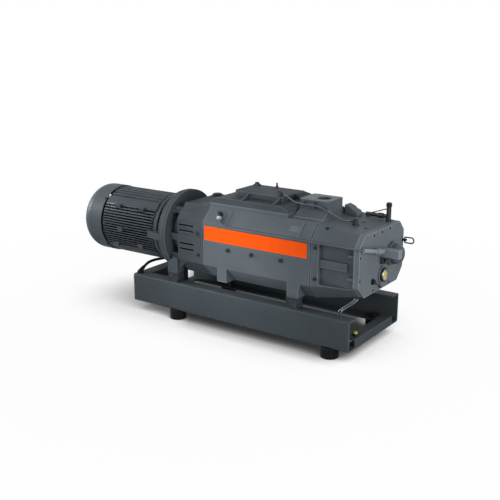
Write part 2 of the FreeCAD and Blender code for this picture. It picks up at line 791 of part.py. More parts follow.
def stator_core():
    return ring_x(motor_bore_radius - seat_gap, stator_bore_radius, stator_x0, stator_x1,
                  drive_y, shaft_z)


def stator_windings():
    """The two rings of end turns."""
    rings = []
    for x, out in ((stator_x0, -1), (stator_x1, 1)):
        reach = 34 * out
        outline = [(x, stator_bore_radius + 8), (x, motor_bore_radius - 8),
                   (x + 0.7 * reach, motor_bore_radius - 8),
                   (x + reach, motor_bore_radius - 16), (x + reach, stator_bore_radius + 14),
                   (x + 0.8 * reach, stator_bore_radius + 8)]
        rings.append(turned_x(outline, drive_y, shaft_z))
    return Part.makeCompound(rings)


def motor_rotor_core():
    """Laminated core with its cast end rings."""
    core = rod_x(rotor_core_radius, stator_x0, stator_x1, drive_y, shaft_z)
    rings = [rod_x(rotor_core_radius - 5, stator_x0 - 16, stator_x0, drive_y, shaft_z),
             rod_x(rotor_core_radius - 5, stator_x1, stator_x1 + 16, drive_y, shaft_z)]
    bore = rod_x(rotor_core_bore + seat_gap, stator_x0 - 20, stator_x1 + 20, drive_y, shaft_z)
    return joined([core] + rings).cut(bore)


def motor_shaft():
    """Stepped shaft: fan seat, bearing seats, core seat and the free end."""
    seat = motor_bearing_seat_radius
    rear_bearing = motor_frame_x0 - 6
    front_bearing = motor_flange_x1 - 6 - motor_bearing_width
    steps = [(fan_x0 - 6, fan_seat_radius), (fan_x0 + fan_width + 1, fan_seat_radius),
             (fan_x0 + fan_width + 1, seat), (rear_bearing + motor_bearing_width, seat),
             (rear_bearing + motor_bearing_width, rotor_core_bore),
             (front_bearing, rotor_core_bore), (front_bearing, seat),
             (motor_flange_x1 - 6, seat), (motor_flange_x1 - 6, motor_shaft_radius),
             (coupling_gap_x - spider_width / 2 - 2, motor_shaft_radius)]
    outline = [(steps[0][0], 0)] + steps + [(steps[-1][0], 0)]
    return turned_x(outline, drive_y, shaft_z)


def bearing(x0, width, outer, inner, y, z):
    """A sealed rolling bearing, drawn as one ring with shallow seal recesses."""
    recess = 1.5
    lip = (outer - inner) * 0.25
    outline = [(x0, inner), (x0, inner + lip), (x0 + recess, inner + lip),
               (x0 + recess, outer - lip), (x0, outer - lip), (x0, outer),
               (x0 + width, outer), (x0 + width, outer - lip),
               (x0 + width - recess, outer - lip), (x0 + width - recess, inner + lip),
               (x0 + width, inner + lip), (x0 + width, inner)]
    return turned_x(outline, y, z)


def motor_bearings():
    inner = motor_bearing_seat_radius + running_gap
    rear = motor_frame_x0 - 6
    front = motor_flange_x1 - 6 - motor_bearing_width
    return Part.makeCompound([bearing(x, motor_bearing_width, motor_bearing_radius, inner,
                                      drive_y, shaft_z) for x in (rear, front)])


def terminal_box():
    """Open box on the motor's back face, with a hole for the cable gland."""
    y1 = terminal_y0 + terminal_depth
    wall = terminal_wall
    shell = box(terminal_x0, terminal_x1, terminal_y0, y1, terminal_z0, terminal_z1)
    room = box(terminal_x0 + wall, terminal_x1 - wall, terminal_y0 + wall, y1 + 1,
               terminal_z0 + wall, terminal_z1 - wall)
    shell = shell.cut(room)
    bosses = [box(x - 10, x + 10, terminal_y0, y1, shaft_z + up - 10, shaft_z + up + 10)
              for x in terminal_screw_x for up in terminal_screw_z]
    holes = [rod_y(2.9, terminal_y0 - 1, y1 + 1, x, shaft_z + up)
             for x in terminal_screw_x for up in terminal_screw_z]
    holes.append(rod_z(gland_thread_radius + seat_gap, terminal_z0 - 1,
                       terminal_z0 + wall + 1, gland_x, gland_y))
    holes.append(rod_y(18, terminal_y0 - 1, terminal_y0 + wall + 1,
                       (terminal_x0 + terminal_x1) / 2, shaft_z))
    return joined([shell] + bosses).cut(holes)


def terminal_box_lid():
    y0 = terminal_y0 + terminal_depth
    y1 = y0 + terminal_lid_thickness
    lid = box(terminal_x0, terminal_x1, y0, y1, terminal_z0, terminal_z1)
    rims = [edge for edge in lid.Edges if abs(edge.CenterOfMass.y - y1) < 0.1]
    lid = lid.makeFillet(4, rims)
    return lid.cut([rod_y(2.9, y0 - 1, y1 + 1, x, shaft_z + up)
                    for x in terminal_screw_x for up in terminal_screw_z])


def cable_gland():
    """Gland under the terminal box that the supply cable passes through."""
    thread = rod_z(gland_thread_radius, terminal_z0, terminal_z0 + terminal_wall + 4,
                   gland_x, gland_y)
    body = hexagon(30, 14, V(gland_x, gland_y, terminal_z0), V(0, 0, -1))
    cap = turned_z([(0, terminal_z0 - 14), (14, terminal_z0 - 14), (14, terminal_z0 - 24),
                    (9, terminal_z0 - 30), (0, terminal_z0 - 30)], gland_x, gland_y)
    return joined([thread, body, cap])


def cable_entry():
    """Grommet with a slanting sleeve, where the cable goes down into the base frame."""
    sleeve = Part.makeCone(cable_radius + 3, cable_radius + 2, cable_entry_length,
                           cable_entry_foot, cable_entry_run)
    outline = [(0, beam_height + 16), (9, beam_height + 15),
               (cable_entry_radius + 5, beam_height + 5),
               (cable_entry_radius + 5, beam_height),
               (cable_entry_radius, beam_height), (cable_entry_radius, beam_height - beam_wall),
               (cable_entry_radius - 2, beam_height - beam_wall - 6),
               (0, beam_height - beam_wall - 6)]
    grommet = turned_z(outline, cable_entry_x, cable_entry_y)
    return joined([grommet, sleeve])


def motor_cable():
    """Supply cable from the gland, under the motor, to the base frame."""
    return tube_along("motor_cable", motor_cable_route, cable_radius)


# Coupling and lantern

def lantern_outline(inset):
    """The lantern box's (y, z) outline, narrower at the back than the pump body."""
    front, back = -body_half_width + inset, lantern_rear_y - inset
    top, bottom = body_top_z - inset, body_bottom_z + inset
    upper, lower = top_chamfer - inset / 2, low_chamfer - inset / 2
    return [(front, bottom + lower), (front, top - upper), (front + upper, top),
            (back - upper, top), (back, top - upper), (back, bottom + lower),
            (back - lower, bottom), (front + lower, bottom)]


def lantern_foot(side):
    """Tapered foot under the round flange, with a gusset back to the box."""
    x0, x1 = mount_lantern_x - mount_length / 2, mount_lantern_x + mount_length / 2
    outer, inner = side * (mount_y + mount_width / 2), side * (mount_y - mount_width / 2)
    outline = [(x0, leg_bottom_z), (x1, leg_bottom_z), (x1, 246), (x1 - 20, 250), (x0 + 4, 216)]
    y0, y1 = sorted((outer, inner))
    foot = prism_y(outline, y0, y1)
    web_y0, web_y1 = sorted((side * 201, side * 120))
    gusset = prism_y([(x0 + 6, 196), (x1, 196), (lantern_box_x + 46, 236),
                      (lantern_box_x + 46, 262), (x0 + 6, 262)], web_y0, web_y1)
    return foot.fuse(gusset)


def coupling_housing():
    """Cast lantern: round motor flange, ribbed neck, vented box, bearing wall and feet."""
    y, z = drive_y, shaft_z
    flange = rod_x(lantern_flange_radius, lantern_start_x, lantern_flange_x1, y, z)
    neck = rod_x(lantern_neck_radius, lantern_flange_x1, lantern_box_x, y, z)
    shell = prism_x(lantern_outline(0), lantern_box_x, cylinder_start_x)
    band = box(lantern_box_x, lantern_band_x1, -body_half_width - lantern_band_rise,
               -body_half_width + 1, z - 17, z + 12)
    parts = [flange, neck, shell, band, lantern_foot(-1), lantern_foot(1)]
    for y0, y1 in ((-body_half_width, -150), (80, lantern_rear_y)):
        parts.append(box(lantern_flange_x1, lantern_box_x, y0, y1, z - 14, z + 14))
        parts.append(prism_y([(lantern_flange_x1, 440), (lantern_flange_x1, 466),
                              (lantern_box_x + 24, 466), (lantern_box_x + 24, 440)],
                             y0 + 34 if y0 < 0 else y0, y1 if y0 < 0 else y1 - 34))
    body = joined(parts)
    wall_x = cylinder_start_x - bearing_wall
    room = prism_x(lantern_outline(lantern_wall), lantern_box_x + lantern_wall, wall_x)
    throat = rod_x(lantern_neck_radius - lantern_wall, lantern_start_x - 1, wall_x - 20, y, z)
    spigot = rod_x(motor_spigot_radius, lantern_start_x - 1, lantern_start_x + 6, y, z)
    cuts = [room, throat, spigot]
    for up in vent_offsets:
        for y0, y1 in ((-body_half_width - 1, -body_half_width + lantern_wall + 2),
                       (lantern_rear_y - lantern_wall - 2, lantern_rear_y + 1)):
            cuts.append(box(lantern_box_x + 6, lantern_box_x + 6 + vent_length, y0, y1,
                            z + up - vent_height / 2, z + up + vent_height / 2))
    for shaft_y in (drive_y, driven_y):
        cuts.append(rod_x(pump_bearing_radius + seat_gap, wall_x - 1,
                          wall_x + pump_bearing_width, shaft_y, z))
        cuts.append(rod_x(seal_radius + seat_gap, wall_x + pump_bearing_width - 1,
                          cylinder_start_x + 1, shaft_y, z))
    cuts += [rod_x(flange_bolt_radius + bolt_gap, lantern_start_x - 1, lantern_flange_x1 - 2,
                   by, bz) for by, bz in flange_bolt_places()]
    cuts += [rod_y(4, -body_half_width - 1, -body_half_width + 14, x, bz)
             for x, bz in lantern_bolt_places]
    cuts.append(rod_z(20.3, body_top_z - lantern_wall - 2, body_top_z + 1,
                      inspection_x, inspection_y))
    return body.cut(cuts)


def inspection_plug():
    """Round cap over the coupling's inspection hole."""
    top = body_top_z
    return turned_z([(0, top - 12), (20, top - 12), (20, top), (25, top), (25, top + 4),
                     (19, top + 10), (8, top + 12), (0, top + 12)], inspection_x, inspection_y)


def sector_x(radius, x0, x1, middle, spread, y, z):
    """A slice of a disc; its middle and spread are angles in degrees about X."""
    piece = Part.makeCylinder(radius, x1 - x0, V(0, 0, 0), V(0, 0, 1), spread)
    piece.rotate(V(0, 0, 0), V(0, 0, 1), middle - spread / 2)
    piece.rotate(V(0, 0, 0), V(0, 1, 0), 90)
    piece.translate(V(x0, y, z))
    return piece


def coupling_hub(x0, x1, face_x, bore):
    """A hub with jaws that reach into the elastic spider."""
    y, z = drive_y, shaft_z
    toward = 1 if face_x > (x0 + x1) / 2 else -1
    first = 0 if toward > 0 else 180 / jaw_count
    lo, hi = sorted((face_x, face_x + toward * (spider_width - 2)))
    jaws = [sector_x(coupling_radius - 5, lo, hi, first + 360 * k / jaw_count, jaw_spread, y, z)
            for k in range(jaw_count)]
    ring = joined(jaws).cut(rod_x(spider_core_radius + 1.5, lo - 1, hi + 1, y, z))
    body = joined([rod_x(coupling_radius, x0, x1, y, z), ring])
    return body.cut(rod_x(bore, x0 - 1, x1 + 1, y, z))


def coupling_hub_motor():
    return coupling_hub(hub_motor_x0, coupling_gap_x - spider_width / 2,
                        coupling_gap_x - spider_width / 2, motor_shaft_radius + seat_gap)


def coupling_hub_pump():
    return coupling_hub(coupling_gap_x + spider_width / 2, hub_pump_x1,
                        coupling_gap_x + spider_width / 2, pump_end_radius + seat_gap)


def coupling_spider():
    """Elastic star whose arms fill the spaces between the jaws."""
    y, z = drive_y, shaft_z
    x0 = coupling_gap_x - spider_width / 2 + 0.5
    x1 = coupling_gap_x + spider_width / 2 - 0.5
    step = 180 / jaw_count
    arms = [sector_x(coupling_radius - 6, x0, x1, step * (k + 0.5), step - jaw_spread - 2, y, z)
            for k in range(2 * jaw_count)]
    return joined([rod_x(spider_core_radius, x0, x1, y, z)] + arms)


# Pump

def cylinder_housing():
    """Water-jacketed pump body: two joined bores, legs, cover pad, ribs and bosses."""
    z = shaft_z
    body = prism_x(body_section, cylinder_start_x, cylinder_end_x)
    parts = [body]
    inner_y = body_half_width - leg_depth
    for side in (-1, 1):
        y0, y1 = sorted((side * body_half_width, side * inner_y))
        parts.append(box(left_leg[0], left_leg[1], y0, y1, leg_bottom_z, 280))
        parts.append(prism_y([(right_leg[0], leg_bottom_z), (right_leg[0], 280),
                              (right_leg[1] + 18, 280), (right_leg[1] + 10, 238),
                              (right_leg[1], 214), (right_leg[1] - 2, leg_bottom_z)], y0, y1))
    rise = 3.0
    for x, width in ((-50, 10), (308, 10)):
        for side in (-1, 1):
            outline = [(body_half_width, 425), (body_half_width + rise, 432),
                       (body_half_width - top_chamfer + 2 * rise, body_top_z - rise / 2),
                       (body_half_width - top_chamfer, body_top_z), (body_half_width - 20, 425)]
            parts.append(prism_x([(side * y, pz) for y, pz in outline], x, x + width))
    parts.append(box(cover_x0, cover_x1, -cover_half, cover_half, body_top_z - 2, cover_base_z))
    parts.append(sensor_boss())
    for x, pz in plug_places:
        parts.append(rod_y(13, -body_half_width - 2, -body_half_width + 4, x, pz))
    base = rod_y(exhaust_bore_radius + 12, body_half_width - 4, exhaust_face_y, exhaust_x,
                 exhaust_z)
    parts.append(base)
    body = joined(parts)
    cuts = [joint_groove(cylinder_start_x, lantern_joint_width, lantern_joint_depth)]
    for y in (drive_y, driven_y):
        cuts.append(rod_x(rotor_bore_radius, cylinder_start_x - 1, cylinder_end_x + 1, y, z))
    cuts.append(rod_z(inlet_bore_radius + port_step, shaft_z, body_top_z + 1, inlet_bore_x, 0))
    cuts.append(rod_y(exhaust_bore_radius + port_step, driven_y, exhaust_face_y + 1,
                      exhaust_x, exhaust_z))
    cuts.append(sensor_bore(sensor_stem_radius + seat_gap))
    for x, pz in plug_places:
        cuts.append(rod_y(6.3, -body_half_width - 3, -body_half_width + 12, x, pz))
    cuts += [rod_y(5, exhaust_face_y - 16, exhaust_face_y + 1, x, ez)
             for x, ez in exhaust_bolt_places()]
    cuts += [rod_z(4.5, cover_base_z - 14, cover_base_z + 1, x, y) for x, y in cover_bolt_places]
    return body.cut(cuts)


def sensor_boss():
    foot = V(sensor_x, sensor_y, sensor_z) - chamfer_normal * 4
    return Part.makeCone(26, 22, 9, foot, chamfer_normal)


def sensor_bore(radius):
    foot = V(sensor_x, sensor_y, sensor_z) - chamfer_normal * 20
    return Part.makeCylinder(radius, 30, foot, chamfer_normal)


def temperature_sensor():
    """Screw-in sensor with a hexagon, a body and an angled plug."""
    seat = V(sensor_x, sensor_y, sensor_z) + chamfer_normal * 5
    stem = Part.makeCylinder(sensor_stem_radius, 22, seat - chamfer_normal * 22, chamfer_normal)
    nut = hexagon(22, 8, seat, chamfer_normal)
    body = Part.makeCylinder(8, 12, seat + chamfer_normal * 8, chamfer_normal)
    plug_start = seat + chamfer_normal * 14
    plug = Part.makeCylinder(8.5, sensor_plug_length, plug_start, sensor_plug_direction)
    return joined([stem, nut, body, plug])


def screw_plugs():
    """Socket plugs in the jacket, and the oil plugs of the end plate."""
    plugs = []
    face = -body_half_width - 2
    for x, z in plug_places:
        head = rod_y(10, face - 5, face, x, z)
        shank = rod_y(6, face, face + 10, x, z)
        socket = hexagon(7, 5, V(x, face - 6, z), V(0, 1, 0))
        plugs.append(joined([head, shank]).cut(socket))
    for y, z in oil_plug_places:
        x = end_plate_x1
        plugs.append(joined([rod_x(7, x - 10, x, y, z), rod_x(13, x, x + 4, y, z),
                             hexagon(17, 8, V(x + 4, y, z), V(1, 0, 0))]))
    return Part.makeCompound(plugs)


def exhaust_bolt_places():
    circle = exhaust_flange_radius - 12
    return [(exhaust_x + circle * cos(pi / 4 + k * pi / 2),
             exhaust_z + circle * sin(pi / 4 + k * pi / 2)) for k in range(4)]


def exhaust_flange():
    """Outlet flange with a short neck on the back of the pump body."""
    y0 = exhaust_face_y
    y1 = y0 + exhaust_reach
    collar = rod_y(exhaust_flange_radius, y0, y0 + 12, exhaust_x, exhaust_z)
    neck = rod_y(exhaust_bore_radius + 6, y0 + 12, y1 - 10, exhaust_x, exhaust_z)
    lip = rod_y(exhaust_bore_radius + 14, y1 - 10, y1, exhaust_x, exhaust_z)
    holes = [rod_y(4.5, y0 - 1, y0 + 13, x, z) for x, z in exhaust_bolt_places()]
    holes.append(rod_y(exhaust_bore_radius, y0 - 1, y1 + 1, exhaust_x, exhaust_z))
    return joined([collar, neck, lip]).cut(holes)


def screw_thread(y, hand, lead_in):
    """One-start thread with flat strips: crest, root and two helical flanks.

    Strip j spans one sector of the turn. A point that is k sectors round the
    helix lies k advances along it, so every strip has only straight edges.
    The lead-in turns the thread, so that its crest faces the other screw's root.
    """
    advance = (screw_x1 - screw_x0) / (screw_turns * screw_sector_count)
    width = screw_crest_count
    last = screw_turns * screw_sector_count

    def point(radius, sector, along):
        angle = radians(lead_in) + 2 * pi * sector / screw_sector_count
        along = min(max(along, 0), last)
        return V(screw_x0 + along * advance, y + hand * radius * cos(angle),
                 shaft_z + radius * sin(angle))

    def strip(radius, j, low, high):
        corners = [point(radius, j, j + low), point(radius, j + 1, j + 1 + low),
                   point(radius, j + 1, j + 1 + high), point(radius, j, j + high)]
        distinct = [c for i, c in enumerate(corners) if (c - corners[i - 1]).Length > 1e-6]
        return [polygon_face(distinct)] if len(distinct) > 2 else []

    tip, root = rotor_tip_radius, rotor_root_radius
    faces = []
    for j in range(-screw_sector_count, last):
        faces += strip(tip, j, 0, width)
        faces += strip(root, j, width, screw_sector_count)
        for edge in (0, width):
            if 0 <= j + edge < last:
                a, b = point(tip, j, j + edge), point(tip, j + 1, j + 1 + edge)
                c, d = point(root, j + 1, j + 1 + edge), point(root, j, j + edge)
                faces += [polygon_face([a, b, c]), polygon_face([a, c, d])]
    for along in (0, last):
        ring = [point(tip, along - width + k, along) for k in range(width + 1)]
        ring += [point(root, along + k, along) for k in range(screw_sector_count - width + 1)]
        faces.append(polygon_face(ring))
    shell = Part.makeShell(faces)
    shell.sewShape()
    solid = Part.makeSolid(shell)
    if solid.Volume < 0:
        solid.reverse()
    return solid


def screw_rotor(y, hand, lead_in, drive_end):
    """A screw with its shaft: journals, gear seat and, on the driver, a coupling end."""
    thread = screw_thread(y, hand, lead_in)
    left = [(drive_end, pump_end_radius), (bearing_drive_x0 - 4, pump_end_radius),
            (bearing_drive_x0 - 4, journal_radius), (screw_x0 + 1, journal_radius)]
    right = [(screw_x1 - 1, journal_radius), (gear_x0, journal_radius),
             (gear_x0, gear_bore_radius), (gear_x0 + gear_width + 8, gear_bore_radius)]
    ends = [turned_x([(steps[0][0], 0)] + steps + [(steps[-1][0], 0)], y, shaft_z)
            for steps in (left, right)]
    return thread.fuse(ends)


def screw_rotor_drive():
    return screw_rotor(drive_y, 1, screw_lead_in_deg, coupling_gap_x + spider_width / 2 + 2)


def screw_rotor_driven():
    return screw_rotor(driven_y, -1, screw_lead_in_deg + 180, bearing_drive_x0 - 14)


def pump_bearings():
    """Single bearings at the drive side and paired ones at the gear side."""
    inner = journal_radius + running_gap
    return Part.makeCompound([
        bearing(x0, width, pump_bearing_radius, inner, y, shaft_z)
        for y in (drive_y, driven_y)
        for x0, width in ((bearing_drive_x0, pump_bearing_width),
                          (bearing_gear_x0, bearing_gear_width))])


def shaft_seals():
    """Ring seals between each bearing and the screws."""
    rings = []
    inner = journal_radius + running_gap
    for y in (drive_y, driven_y):
        for x0, x1 in ((cylinder_start_x - seal_width, cylinder_start_x),
                       (cylinder_end_x, cylinder_end_x + seal_width)):
            rings.append(turned_x([(x0, inner), (x0, seal_radius), (x1, seal_radius),
                                   (x1, inner + 6), (x1 - 3, inner + 3), (x1 - 3, inner)],
                                  y, shaft_z))
    return Part.makeCompound(rings)


def timing_gear(y, half_step):
    """Spur gear with involute flanks, thinned for running clearance."""
    module = shaft_spacing / gear_teeth
    pitch_r = shaft_spacing / 2
    base_r = pitch_r * cos(radians(20))
    tip_r = pitch_r + module * 0.92
    root_r = pitch_r - module * 1.2

    def spread(radius):
        """The involute's turn, in radians, at a radius."""
        roll = acos(min(base_r / radius, 1))
        return tan(roll) - roll

    half_tooth = pi / (2 * gear_teeth) - radians(gear_backlash_deg) / 2 + spread(pitch_r)
    points = []
    for k in range(gear_teeth):
        middle = 2 * pi * (k + half_step) / gear_teeth
        flank = [(r, half_tooth - spread(r)) for r in (root_r, base_r + 1, pitch_r, tip_r)]
        tooth = [(r, middle - a) for r, a in flank] + [(r, middle + a) for r, a in flank[::-1]]
        points += [(y + r * cos(a), shaft_z + r * sin(a)) for r, a in tooth]
    blank = prism_x(points, gear_x0, gear_x0 + gear_width)
    lighten = [ring_x(root_r - 8, gear_bore_radius + 12, x, x + 9, y, shaft_z)
               for x in (gear_x0 - 1, gear_x0 + gear_width - 8)]
    bore = rod_x(gear_bore_radius + seat_gap, gear_x0 - 1, gear_x0 + gear_width + 1, y, shaft_z)
    return blank.cut(lighten + [bore])


def bearing_housing():
    """Gear-side housing: open gear room, bearing seats, side pockets and a level rib."""
    y, z = drive_y, shaft_z
    x0, x1 = cylinder_end_x, bearing_housing_end_x
    start = Part.makePolygon([V(x0, py, pz) for py, pz in body_section + body_section[:1]])
    finish = Part.makePolygon([V(x1, py, pz) for py, pz in end_section + end_section[:1]])
    body = Part.makeLoft([start, finish], True, True)
    cuts = [joint_groove(x0, housing_joint_width, housing_joint_depth)]
    for side in (-1, 1):
        y0, y1 = sorted((side * (body_half_width + 1), side * pocket_y))
        pocket = box(pocket_x0, x1 - pocket_lip, y0, y1, pocket_z0, pocket_z1)
        corners = [edge for edge in pocket.Edges
                   if edge.Length > abs(y1 - y0) - 0.1 and edge.Length < abs(y1 - y0) + 0.1]
        cuts.append(pocket.makeFillet(8, corners))
    body = body.cut(cuts)
    ribs = []
    for side in (-1, 1):
        y0, y1 = sorted((side * (pocket_y + 10), side * (pocket_y - 3)))
        ribs.append(box(pocket_x0, housing_rib_x1, y0, y1, housing_rib_z0, housing_rib_z1))
    ribs += [rod_x(end_bolt_lug, x1 - 30, x1 - 1, by, bz) for by, bz in end_bolt_places
             if abs(by) > pocket_y - end_bolt_lug]
    body = body.fuse(ribs)
    room_r = shaft_spacing / 2 + 14
    room = [rod_x(room_r, gear_x0 - 8, x1 + 1, sy, z) for sy in (drive_y, driven_y)]
    room.append(box(gear_x0 - 8, x1 + 1, drive_y, driven_y, z - room_r, z + room_r))
    seats = []
    for sy in (drive_y, driven_y):
        seats.append(rod_x(seal_radius + seat_gap, x0 - 1, bearing_gear_x0, sy, z))
        seats.append(rod_x(pump_bearing_radius + seat_gap, bearing_gear_x0, gear_x0, sy, z))
    bolts = []
    for side in (-1, 1):
        for x, bz in housing_bolt_places:
            spot0, spot1 = sorted((side * housing_spot_y, side * (body_half_width + 1)))
            hole0, hole1 = sorted((side * (housing_spot_y - 14), side * body_half_width))
            bolts += [rod_y(9, spot0, spot1, x, bz), rod_y(4, hole0, hole1, x, bz)]
    bolts += [rod_x(4.5, x1 - 20, x1 + 1, by, bz) for by, bz in end_bolt_places]
    spots = [rod_z(reach, floor_z, body_top_z + 1, sx, sy) for reach, floor_z, sx, sy in
             ((16, gas_seat_z, fitting_x, fitting_y),
              (regulator_foot_radius + bolt_gap, regulator_seat_z, regulator_x, regulator_y),
              (regulator_leg_radius + seat_gap, regulator_leg_z, regulator_leg_x, regulator_y))]
    for sx, sy in top_screw_places:
        seat_z = housing_slope(sx) - top_screw_sink
        spots += [rod_z(top_screw_head + 1.5, seat_z, body_top_z, sx, sy),
                  rod_z(top_screw_head - 2, seat_z - 12, seat_z + 1, sx, sy)]
    return body.cut(room + seats + bolts + spots + chamfer_screw_room())


def chamfer_screw_seat():
    """The bottom of the chamfer screw's seat."""
    run = (chamfer_screw_x - cylinder_end_x) / (bearing_housing_end_x - cylinder_end_x)
    half = body_half_width + run * (end_half_width - body_half_width)
    cut = top_chamfer + run * (end_top_chamfer - top_chamfer)
    top = housing_slope(chamfer_screw_x)
    face_z = top - cut + (chamfer_screw_y + half)
    return (V(chamfer_screw_x, chamfer_screw_y, face_z)
            - chamfer_normal * chamfer_screw_sink)


def chamfer_screw_room():
    seat = chamfer_screw_seat()
    return [Part.makeCylinder(chamfer_screw_head + 2, 30, seat, chamfer_normal),
            Part.makeCylinder(4, 14, seat - chamfer_normal * 13, chamfer_normal)]


def casing_bolts():
    """Cap screws of the lantern, the bearing housing, the inlet and the exhaust."""
    screws = []
    for x, z in lantern_bolt_places:
        face = -body_half_width
        screws.append(joined([rod_y(7, face - 7, face, x, z), rod_y(3.6, face, face + 12, x, z)]))
    for side in (-1, 1):
        for x, z in housing_bolt_places:
            face = side * housing_spot_y
            head0, head1 = sorted((face, face + side * 7))
            shank0, shank1 = sorted((face, face - side * 12))
            screws.append(joined([rod_y(7, head0, head1, x, z),
                                  rod_y(3.6, shank0, shank1, x, z)]))
    seat = chamfer_screw_seat()
    screws.append(joined([
        Part.makeCylinder(chamfer_screw_head, 7, seat, chamfer_normal),
        Part.makeCylinder(3.6, 12, seat - chamfer_normal * 12, chamfer_normal)]))
    for x, y in top_screw_places:
        seat_z = housing_slope(x) - top_screw_sink
        screws.append(joined([rod_z(top_screw_head, seat_z, seat_z + 5, x, y),
                              rod_z(3, seat_z - 10, seat_z, x, y)]))
    face = -inlet_depth / 2
    for x, z in inlet_screw_places:
        screws.append(joined([rod_y(6, face - 4, face, x, z),
                              rod_y(3.3, face, face + inlet_screw_length, x, z)]))
    y0 = exhaust_face_y + 12
    for x, z in exhaust_bolt_places():
        screws.append(joined([hexagon(13, 6, V(x, y0, z), V(0, 1, 0)),
                              rod_y(4, y0 - 24, y0, x, z)]))
    return Part.makeCompound(screws)


def end_plate():
    """Octagonal plate over the gears, with bosses for the sight glass and shaft cover."""
    x0, x1 = bearing_housing_end_x, end_plate_x1
    plate = prism_x(end_section, x0, x1)
    boss = rod_x(sight_radius + 6, x1 - 2, x1 + 6, sight_y, sight_z)
    cuts = [rod_x(4.5, x0 - 1, x1 + 1, y, z) for y, z in end_bolt_places]
    cuts += [rod_x(end_bolt_head + 1.2, x1 - end_bolt_sink, x1 + 1, y, z)
             for y, z in end_bolt_places]
    cuts.append(rod_x(sight_glass_radius, x0 - 1, x1 + 7, sight_y, sight_z))
    cuts += [rod_x(level_line_radius + seat_gap, x1 - level_line_seat, x1 + 1, end.y, end.z)
             for end in (level_line_route[0], level_line_route[-1])]
    cuts += [rod_x(7.3, x1 - 12, x1 + 1, y, z) for y, z in oil_plug_places]
    return joined([plate, boss]).cut(cuts)


def end_plate_bolts():
    x = end_plate_x1
    return Part.makeCompound([
        joined([rod_x(end_bolt_head, x - end_bolt_sink, x - 1, y, z),
                rod_x(4, x - 38, x - end_bolt_sink, y, z)])
        for y, z in end_bolt_places])


def sight_glass_ring():
    return turned_x([(sight_face_x, sight_glass_radius + 1), (sight_face_x, sight_radius),
                     (sight_face_x + 7, sight_radius), (sight_face_x + 10, sight_radius - 4),
                     (sight_face_x + 10, sight_glass_radius - 2),
                     (sight_face_x + 6, sight_glass_radius - 2),
                     (sight_face_x + 6, sight_glass_radius + 1)], sight_y, sight_z)


def sight_glass_lens():
    return rod_x(sight_glass_radius - free_gap, sight_face_x - 3, sight_face_x + 6,
                 sight_y, sight_z)


def shaft_end_cover():
    """Domed cover over the end of the driven shaft."""
    x = end_plate_x1
    r = 48.0
    return turned_x([(x, 0), (x, r), (x + 14, r), (x + 14, r - 7), (x + 34, r - 7),
                     (x + 48, r - 15), (x + 55, r - 30), (x + 56, 0)], driven_y + 14, 345)


def valve_block():
    """Coolant valve block with a sloping foot, standing out from the end plate."""
    x = end_plate_x1
    outline = [(x, 322), (x + 24, 326), (x + 44, block_z0), (x + block_reach, block_z0),
               (x + block_reach, block_z1), (x, block_z1)]
    block = prism_y(outline, block_y0, block_y1)
    window = rod_y(6, block_y0 - 1, block_y1 + 1, x + 20, 342)
    return block.cut(window)


# Top side

def cover_ramp():
    """Ramp at the cover's motor end, sloping down to the lantern and to the front."""
    rise = cover_ledge_z - body_top_z
    head_x = ramp_foot_x + rise / tan(radians(20))
    face = polygon_face([V(ramp_foot_x, ramp_rear_y, body_top_z),
                         V(head_x, ramp_rear_y, cover_ledge_z),
                         V(head_x, ramp_rear_y, body_top_z)])
    run = ramp_rear_y + cover_half
    wedge = face.extrude(V(0, -run, -0.067 * run))
    over_lantern = box(ramp_foot_x, cover_x0, -cover_half, ramp_rear_y, body_top_z,
                       cover_ledge_z)
    over_pad = box(cover_x0 - 1, head_x, -cover_half, ramp_rear_y, cover_base_z, cover_ledge_z)
    return wedge.common(over_lantern.fuse(over_pad))


def top_cover():
    """Cast cover: flanged tier, raised hump with gusset ribs, and a ramp at the motor end."""
    z0, z1, z2 = cover_base_z, cover_ledge_z, cover_top_z
    tier = prism_y([(cover_x0, z0), (cover_x1, z0), (cover_x1, z0 + 9), (cover_x1 - 26, z1),
                    (cover_x0 + 33, z1), (cover_x0, z0 + 14)], -cover_half, cover_half)
    hump = box(hump_x0, hump_x1, hump_front_y, hump_rear_y, z1 - 4, z2)
    left_corners = [edge for edge in hump.Edges
                    if abs(edge.CenterOfMass.x - hump_x0) < 0.1
                    and edge.Length < z2 - z1 + 5 and abs(edge.CenterOfMass.z - z2) > 1]
    hump = hump.makeFillet(30, left_corners)
    shelf = prism_y([(hump_x1 - 2, z1 - 2), (hump_x1 + 38, z1 - 2), (hump_x1 + 36, z2 - 16),
                     (hump_x1 + 14, z2 - 9), (hump_x1 + 12, z2 - 3), (hump_x1 - 2, z2)], 8, 78)
    ribs = []
    for x in (gusset_x0, gusset_x1):
        for side, wall_y in ((-1, hump_front_y), (1, hump_rear_y)):
            face = polygon_face([V(x, wall_y - side, z2), V(x, side * cover_half, z1 + 2),
                                 V(x, side * cover_half, z1 - 4), V(x, wall_y - side, z1 - 4)])
            ribs.append(face.extrude(V(9, 0, 0)))
    boss = rod_z(17, z1, z2 + 4, cover_plug_x, cover_plug_y)
    shape = joined([tier, hump, shelf, boss, cover_ramp()] + ribs)
    cuts = [rod_z(4.5, z0 - 1, z1 + 1, x, y) for x, y in cover_bolt_places]
    cuts += [rod_z(7, cover_bolt_seat_z, z1 + 30, x, y) for x, y in cover_bolt_places]
    cuts.append(rod_z(8.3, z2 - 14, z2 + 5, cover_plug_x, cover_plug_y))
    cuts.append(rod_z(4.3, z2 - 20, z2 + 1, cover_stud_x, cover_stud_y))
    cuts.append(rod_z(4.3, z2 - 12, z2 + 1, union_x, union_y))
    return shape.cut(cuts)


